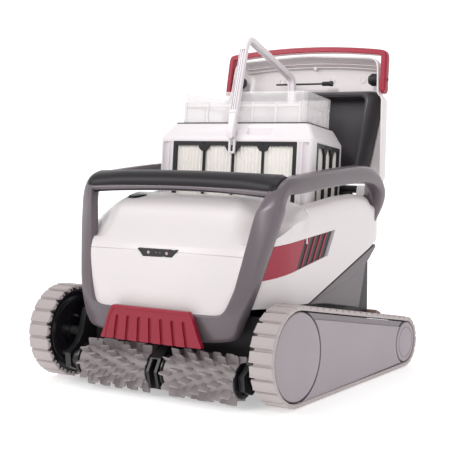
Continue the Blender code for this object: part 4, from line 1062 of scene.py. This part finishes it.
def make_basket_frame():
    floor = -HEIGHT
    rows = [plan(0.002, floor, 0.01), plan(0.0, floor + 0.002, 0.01), plan(0.0, -0.0015, 0.01),
            plan(0.0012, 0.001, 0.01), plan(0.012, RIM - 0.0015, 0.008),
            plan(0.0135, RIM, 0.008), plan(0.018, RIM, 0.006), plan(0.0112, -0.003, 0.008),
            plan(0.0112, floor + 0.004, 0.008)]
    bm = skin(rows)
    frame = piece("basket_body", bm, BASKET_WHITE, "basket", ("basket_frame",),
                  where=BASKET, smooth=30)
    for name, cells, half, where in panel_places():
        bm = block((-half, -0.01, PANEL_LOW), (half, 0.016, PANEL_HIGH))
        carve(frame, f"window_{name}", bm, where)
    for side in (-1, 1):
        # round channels down the two front posts, and the narrow groove beside each
        for x, r in ((0.1235, 0.0052), (0.1145, 0.0018)):
            bm = skin([[(side * x + r * a, r * b - 0.0004, z) for a, b in circle(1.0, 20)]
                       for z in (floor + 0.006, -0.0075)])
            carve(frame, "post_channel", bm, BASKET)
    outline = rounded([(0.02, 0.004), (0.062, 0.004), (0.062, 0.0165), (0.02, 0.0165)], 0.003)
    bm = prism(outline, "y", 0.001, 0.0092)
    carve(frame, "rim_recess", bm, BASKET)
    add_bevel(frame, 0.0007)

    rows = [plan(0.0136, RIM + 0.0003, 0.008), plan(0.0133, RIM + 0.001, 0.008),
            plan(0.0142, RIM + 0.0018, 0.008), plan(0.0168, RIM + 0.0018, 0.006),
            plan(0.0177, RIM + 0.001, 0.006), plan(0.0176, RIM + 0.0003, 0.006)]
    bm = skin(rows, wrap=True)
    piece("basket_gasket", bm, SEAL, "basket", ("basket_seal",), where=BASKET)

    # white clip over the front filter frame, below the handle's foot
    clip = [(-0.0058, -0.025), (0.0058, -0.025), (0.0058, 0.002), (-0.0058, 0.002)]
    bm = prism(rounded(clip, 0.0045), "y", -0.0046, -0.0006)
    fitting = piece("panel_clip", bm, BASKET_WHITE, "basket", where=BASKET)
    slot = rounded([(-0.0022, -0.0215), (0.0022, -0.0215), (0.0022, -0.006), (-0.0022, -0.006)], 0.0018)
    bm = prism(slot, "y", -0.006, -0.0016)
    carve(fitting, "clip_slot", bm, BASKET)
    add_bevel(fitting, 0.0006)
    disc = arc((0, -0.012), 0.0125, 180, 360, 14)
    bm = prism(disc, "y", -0.0022, -0.0004)
    piece("panel_clip_disc", bm, BLACK, "basket", where=BASKET, bevel=0.0004)


def make_filters():
    for name, cells, half, where in panel_places():
        edge, low, high = half - 0.0003, PANEL_LOW + 0.0003, PANEL_HIGH - 0.0003
        pitch = 2 * (edge - 0.0045) / cells
        outer = rounded([(-edge, low), (edge, low), (edge, high), (-edge, high)], 0.0016)
        bm = prism(outer, "y", -0.001, 0.003)
        lattice = piece(f"filter_frame_{name}_lattice", bm, BLACK, "basket",
                        (f"filter_frame_{name}",), where=where)
        for cell in range(cells):
            middle, reach = -edge + 0.0045 + pitch * (cell + 0.5), pitch / 2 - 0.0015
            hole = rounded([(middle - reach, low + 0.0052), (middle + reach, low + 0.0052),
                            (middle + reach, high - 0.006), (middle - reach, high - 0.006)], 0.0018)
            bm = prism(hole, "y", -0.004, 0.006)
            carve(lattice, f"cell_{cell}", bm, where)
        add_bevel(lattice, 0.0004)
        bm = bmesh.new()
        bars = [-edge + 0.0045 + pitch * k for k in range(1, cells)]
        for x in bars:
            if name == "front":
                gusset = [(x + a, high - 0.0055 + b) for a, b in arc((0, 0), 0.0092, 180, 360, 14)]
            else:
                gusset = [(x - 0.011, high - 0.0055), (x, high - 0.019), (x + 0.011, high - 0.0055)]
            prism(gusset, "y", -0.0016, 0.0024, bm)
        for x in bars:
            prism([(x - 0.0004, low), (x + 0.0004, low), (x + 0.0004, high), (x - 0.0004, high)],
                  "y", -0.0019, -0.0006, bm)
        piece(f"filter_frame_{name}_gussets", bm, BLACK, "basket", where=where,
              bevel=0.0004)
        # pleated fleece: one zigzag sheet with rounded folds
        folds = cells * 9
        front = []
        for k in range(folds * 4 + 1):
            x = mix(-(edge - 0.001), edge - 0.001, k / (folds * 4))
            front.append((x, 0.0046 - 0.0012 * math.cos(math.pi * k / 2)))
        rows = []
        for z in steps(low + 0.001, high - 0.001, 10):
            rows.append([(x + 0.0002 * math.sin(160 * z + 90 * x), y, z) for x, y in front])
        bm = skin(rows, closed=False)
        piece(f"filter_media_{name}_pleats", bm, FLEECE, "basket",
              (f"filter_media_{name}",), where=where, wall=0.0005, smooth=60)


def make_inner_basket():
    """Clear cage: an upper band, a floor band, and ribs over its thin milky walls."""
    front_y, rear_y, front_x, rear_x = 0.018, 0.15, 0.109, 0.078
    low, high = -0.051, 0.069

    def outline(inset, z):
        flare = 0.0012 * (z - low) / (high - low)
        points = [(-front_x + inset - flare, front_y + inset), (front_x - inset + flare, front_y + inset),
                  (rear_x - inset + flare, rear_y - inset), (-rear_x + inset - flare, rear_y - inset)]
        return [(x, y, z) for x, y in rounded(points, 0.01, 6)]

    bm = skin([outline(0.0, low), outline(0.0, high - 0.016), outline(-0.0008, high - 0.0155),
               outline(-0.0008, high - 0.0006), outline(-0.0002, high), outline(0.0014, high),
               outline(0.002, high - 0.0006), outline(0.002, low + 0.0018)])
    piece("inner_basket_cage", bm, FILM, "inner_basket", ("inner_basket",),
          where=BASKET, smooth=30)
    yaw = math.atan((front_x - rear_x) / (rear_y - front_y))
    walls = (("front", Matrix.Translation((0, front_y, 0)), 0.101, 5),
             ("rear", Matrix.Translation((0, rear_y, 0)) @ Matrix.Rotation(math.pi, 4, "Z"), 0.07, 4),
             ("right", Matrix.Translation(((front_x + rear_x) / 2, (front_y + rear_y) / 2, 0))
              @ Matrix.Rotation(math.pi / 2 + yaw, 4, "Z"), 0.06, 3),
             ("left", Matrix.Translation((-(front_x + rear_x) / 2, (front_y + rear_y) / 2, 0))
              @ Matrix.Rotation(-math.pi / 2 - yaw, 4, "Z"), 0.06, 3))
    grid = bmesh.new()
    for name, place, half, count in walls:
        before = len(grid.verts)
        pitch = 2 * half / count
        for k in range(count + 1):
            x = -half + pitch * k
            block((x - 0.0016, -0.001, low + 0.001), (x + 0.0016, 0.001, high - 0.016), grid)
        for level in (low + 0.004, -0.002, 0.048):
            block((-half, -0.0009, level - 0.0022), (half, 0.0009, level + 0.0022), grid)
        grid.verts.ensure_lookup_table()
        bmesh.ops.transform(grid, matrix=place, verts=grid.verts[before:])
    piece("inner_basket_ribs", grid, CLEAR, "inner_basket", where=BASKET,
          bevel=0.0004)


def make_handle():
    pivot = BASKET @ Matrix.Translation((0, 0, 0.006))
    middle = rounded_path([(-0.0068, -0.007), (-0.0068, 0.0), (0.0175, 0.127), (0.0215, 0.1367),
                           (0.029, 0.1422), (0.0385, 0.1412), (0.1535, 0.1022), (0.16, 0.097),
                           (0.1622, 0.089), (0.17, 0.0), (0.1705, -0.007)])
    half_x, half_t = 0.006, 0.0045
    rows = []
    for i, (y, z) in enumerate(middle):
        ahead = heading(middle, i)
        out = (-ahead[1], ahead[0])
        ring = []
        for a, b in ((-1.0, -0.7), (-0.8, -1.0), (-0.45, -1.0), (-0.42, -0.55), (0.42, -0.55),
                     (0.45, -1.0), (0.8, -1.0), (1.0, -0.7), (1.0, 0.6), (0.72, 1.0), (-0.72, 1.0),
                     (-1.0, 0.6)):
            ring.append((half_x * a, y + out[0] * half_t * b, z + out[1] * half_t * b))
        rows.append(ring)
    bm = skin(rows)
    for y in (-0.0068, 0.1702):
        turn([(y - 0.0048, 0.0052), (y - 0.004, 0.006), (y + 0.004, 0.006),
              (y + 0.0048, 0.0052)], "y", (0.0, -0.004), 28, bm=bm)
    bail = piece("basket_bail", bm, BASKET_WHITE, "handle", ("basket_handle",),
                 where=pivot, smooth=30)
    # three long grooves down the front leg and a short cross line at their foot
    lean = Matrix.Rotation(-math.atan2(0.0243, 0.127), 4, "X")
    leg = pivot @ Matrix.Translation((0, -0.0068, 0)) @ lean
    for x in (-0.0032, 0.0, 0.0032):
        bm = block((x - 0.0008, -0.007, 0.034), (x + 0.0008, -0.0018, 0.127))
        carve(bail, "leg_groove", bm, leg)
    bm = block((-0.0046, -0.007, 0.029), (0.0046, -0.0026, 0.0302))
    carve(bail, "leg_cross_line", bm, leg)
    add_bevel(bail, 0.0005)


# ---------------------------------------------------------------- the CAD pieces that stay as they are
def finish_kept():
    kept = {"chassis": DARK, "brush_bracket_left": BLACK, "brush_bracket_right": BLACK,
            "brush_hanger": BLACK, "brush_shaft": BLACK, "motor_unit": BLACK, "impeller": DARK,
            "cable_gland": BLACK, "front_axle_left": STEEL, "front_axle_right": STEEL,
            "rear_axle_left": STEEL, "rear_axle_right": STEEL, "hinge_pin_left": STEEL,
            "hinge_pin_right": STEEL, "intake_flap_left": SEAL, "intake_flap_right": SEAL}
    for name, mat in kept.items():
        obj = frame["nodes"][name]
        obj.data.materials.clear()
        obj.data.materials.append(mat)
        add_bevel(obj, 0.0008 if name in ("chassis", "motor_unit", "brush_hanger") else 0.0003)


# ---------------------------------------------------------------- floor, light and camera
def stage_light(name, kind, spot, target, watts, **settings):
    """A studio light at a spot, aimed at a target."""
    lamp = bpy.data.lights.new(name, kind)
    lamp.energy = watts
    for key, value in settings.items():
        setattr(lamp, key, value)
    obj = put(name, lamp)
    obj.location = spot
    aim = Vector(target) - Vector(spot)
    obj.rotation_euler = aim.to_track_quat("-Z", "Y").to_euler()


def make_stage():
    backdrop = arc((3.2, 1.5), 1.5008, -90, 0, 12)[1:] + [(4.7, 6.0)]
    rows = [[(x, y, z) for x in (-12.0, 12.0)]
            for y, z in [(-14.0, -0.0008), (3.2, -0.0008)] + backdrop]
    floor = to_object("floor", skin(rows, closed=False))
    floor.data.shade_smooth()
    floor.rotation_euler = (0, 0, math.radians(33.6))
    paper = plastic("paper", (0.9, 0.9, 0.9), 0.75, spread=0.004, grain=0.02, specular=0.1)
    floor.data.materials.append(paper)
    glow = paper.node_tree.nodes["Principled BSDF"]
    glow.inputs["Emission Color"].default_value = (1.0, 1.0, 1.0, 1.0)
    glow.inputs["Emission Strength"].default_value = 0.42

    world = bpy.data.worlds.new("studio")
    bpy.context.scene.world = world
    world.use_nodes = True
    world.node_tree.nodes["Background"].inputs["Color"].default_value = (1.0, 1.0, 1.0, 1.0)
    world.node_tree.nodes["Background"].inputs["Strength"].default_value = 0.6
    middle = (0.0, 0.0, 0.2)
    stage_light("key", "AREA", (-3.0, -3.5, 3.2), middle, 68.0, size=2.0)
    stage_light("fill", "AREA", (3.6, -1.6, 1.2), middle, 5.0, size=2.0)
    stage_light("top", "AREA", (-0.4, -0.3, 4.0), middle, 26.0, size=2.4)
    stage_light("lid_light", "SPOT", (0.7, -2.8, 1.5), (0.04, 0.16, 0.47), 230.0,
                spot_size=math.radians(12), spot_blend=1.0, shadow_soft_size=0.25)

    lens = bpy.data.cameras.new("camera")
    lens.lens = 93.9
    lens.sensor_width = 36.0
    camera = put("camera", lens)
    camera.location = (0.9546, AXLE_Y - 1.3003, 0.3635)
    camera.rotation_euler = (math.radians(90 - 4.738), 0, math.radians(33.626))
    bpy.context.scene.camera = camera
    bpy.context.scene.view_settings.view_transform = "Standard"


make_belts()
make_wheels()
make_side_covers()
make_brushes()
make_hood()
make_display()
make_shell()
make_hinge_barrel()
make_vents()
make_lower_sides()
make_carrying_frame()
make_grille()
make_lid()
make_latch()
make_basket_frame()
make_filters()
make_inner_basket()
make_handle()
finish_kept()
make_stage()
